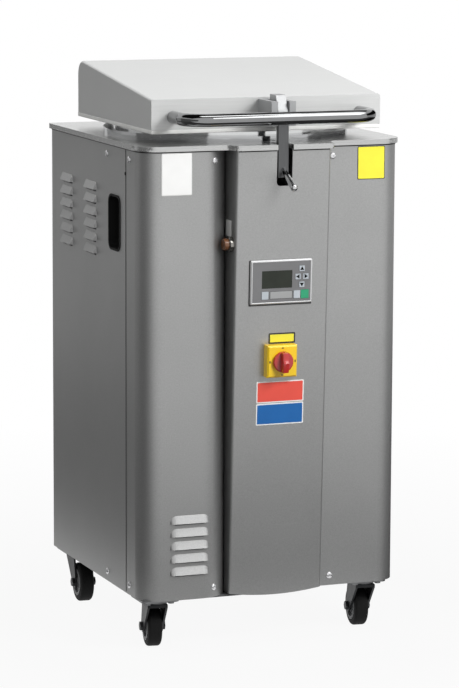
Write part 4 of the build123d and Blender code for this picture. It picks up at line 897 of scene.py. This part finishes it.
def floor_material():
    material = bpy.data.materials.new("pale_floor")
    material.use_nodes = True
    tree = material.node_tree
    tree.nodes.remove(tree.nodes["Principled BSDF"])
    matt = tree.nodes.new("ShaderNodeBsdfDiffuse")
    matt.inputs["Color"].default_value = FLOOR_GREY
    glow = tree.nodes.new("ShaderNodeEmission")
    glow.inputs["Strength"].default_value = FLOOR_GLOW
    mix = tree.nodes.new("ShaderNodeMixShader")
    coords = tree.nodes.new("ShaderNodeTexCoord")
    length = tree.nodes.new("ShaderNodeVectorMath")
    length.operation = "LENGTH"
    tree.links.new(coords.outputs["Object"], length.inputs[0])
    fade = tree.nodes.new("ShaderNodeMapRange")
    fade.inputs["From Min"].default_value = FADE_NEAR
    fade.inputs["From Max"].default_value = FADE_FAR
    fade.inputs["To Min"].default_value = FADE_LOW
    fade.inputs["To Max"].default_value = FADE_HIGH
    tree.links.new(length.outputs["Value"], fade.inputs["Value"])
    share = tree.nodes.new("ShaderNodeMath")
    share.operation = "MULTIPLY"
    tree.links.new(seen_directly(tree), share.inputs[0])
    tree.links.new(fade.outputs["Result"], share.inputs[1])
    tree.links.new(share.outputs[0], mix.inputs["Fac"])
    tree.links.new(matt.outputs[0], mix.inputs[1])
    tree.links.new(glow.outputs[0], mix.inputs[2])
    tree.links.new(mix.outputs[0], tree.nodes["Material Output"].inputs["Surface"])
    return material


def flat_object(name, corners, material):
    mesh = bpy.data.meshes.new(name)
    mesh.from_pydata(corners, [], [(0, 1, 2, 3)])
    mesh.materials.append(material)
    return add_object(name, mesh)


def level_corners(left, right, front, back, z):
    return ((left, front, z), (right, front, z), (right, back, z), (left, back, z))


def side_corners(x, first_y, second_y, low, high):
    return ((x, first_y, low), (x, second_y, low), (x, second_y, high), (x, first_y, high))


def back_corners(first_x, second_x, y, low, high):
    return ((first_x, y, low), (second_x, y, low), (second_x, y, high), (first_x, y, high))


def make_floor():
    corners = level_corners(-FLOOR_HALF, FLOOR_HALF, -FLOOR_HALF, FLOOR_HALF, 0)
    floor = flat_object("floor", corners, floor_material())


# Plain cards round the stage that only reflections see, as in a photographer's studio, with their glow
STAGE_LEFT, STAGE_RIGHT, STAGE_BACK = -3.2, 3.6, 3.0
SIDE_HIGH = 2.2
FLOOR_CARD_Z = 0.004
UPPER_CARD_Z = 3.4
BRIGHT_CARD_Z = 3.0
CARDS = {
    "floor_card": (level_corners(STAGE_LEFT, STAGE_RIGHT, -1.4, -0.42, FLOOR_CARD_Z), 0.09),
    "floor_left_card": (level_corners(STAGE_LEFT, -0.5, -0.42, STAGE_BACK, FLOOR_CARD_Z), 0.1),
    "floor_right_card": (level_corners(0.36, STAGE_RIGHT, -0.42, STAGE_BACK, FLOOR_CARD_Z), 0.01),
    "left_front_card": (side_corners(STAGE_LEFT, -1.7, -4.2, 0.0, SIDE_HIGH), 0.2),
    "left_card": (side_corners(STAGE_LEFT, 1.2, -1.7, 0.0, SIDE_HIGH), 0.19),
    "left_back_card": (side_corners(STAGE_LEFT, STAGE_BACK, 1.2, 0.0, SIDE_HIGH), 0.55),
    "back_card": (back_corners(-0.8, STAGE_LEFT, STAGE_BACK, 0.7, 1.5), 0.1),
    "back_low_card": (back_corners(-0.8, STAGE_LEFT, STAGE_BACK, 0.0, 0.7), 0.46),
    "right_card": (side_corners(STAGE_RIGHT, -2.0, 3.6, 1.3, 3.0), 0.01),
    "right_low_card": (side_corners(STAGE_RIGHT, -2.0, 3.6, 0.0, 1.3), 0.6),
    "upper_left_card": (
        (
            (-4.0, -2.0, UPPER_CARD_Z),
            (1.2, -2.0, UPPER_CARD_Z),
            (0.9, 0.1, UPPER_CARD_Z),
            (-4.0, 0.1, UPPER_CARD_Z),
        ),
        0.01,
    ),
    "upper_back_card": (level_corners(-4.0, 2.4, 0.1, 1.8, UPPER_CARD_Z), 0.01),
    "strip_card": (
        (
            (0.95, -3.9, BRIGHT_CARD_Z),
            (2.6, -3.9, BRIGHT_CARD_Z),
            (2.6, -0.7, BRIGHT_CARD_Z),
            (0.84, -0.7, BRIGHT_CARD_Z),
        ),
        4.5,
    ),
    "edge_card": (level_corners(-0.5, 0.84, -0.95, -0.4, BRIGHT_CARD_Z), 4.5),
}


def make_cards():
    for name, (corners, glow) in CARDS.items():
        tone = bpy.data.materials.new(name)
        tone.use_nodes = True
        shader = tone.node_tree.nodes["Principled BSDF"]
        shader.inputs["Base Color"].default_value = (0, 0, 0, 1)
        shader.inputs["Specular IOR Level"].default_value = 0.0
        shader.inputs["Emission Color"].default_value = WHITE
        shader.inputs["Emission Strength"].default_value = glow
        card = flat_object(name, corners, tone)
        card.visible_camera = False
        card.visible_diffuse = False
        card.visible_shadow = False


# Lamps that reflections don't see: place, aim, size and power in watts
LAMPS = {
    "key": ((1.05, -2.05, 1.95), (0, -0.25, 0.7), (0.9, 0.9), 66),
    "top": ((0.0, 0.0, 3.1), (0, 0, 1.0), (1.8, 1.8), 31),
    "fill": ((-2.3, -2.6, 2.0), (-0.1, 0, 0.6), (1.2, 1.6), 14),
    "left": ((-1.7, -0.6, 2.9), (-0.2, 0, 0.7), (1.2, 1.2), 16),
}


def make_lamps():
    for name, (place, aim, size, power) in LAMPS.items():
        data = bpy.data.lights.new(name, "AREA")
        data.shape = "RECTANGLE"
        data.size, data.size_y = size
        data.energy = power
        lamp = add_object(name, data)
        lamp.location = place
        lamp.rotation_euler = (Vector(aim) - Vector(place)).to_track_quat("-Z", "Y").to_euler()
        lamp.visible_glossy = False


make_plates()
make_display()
make_arrows()
make_switch()
make_screws()
make_shade_lines()
make_louvres()
make_camera()
make_world()
make_floor()
make_cards()
make_lamps()
bpy.context.scene.view_settings.view_transform = "Standard"
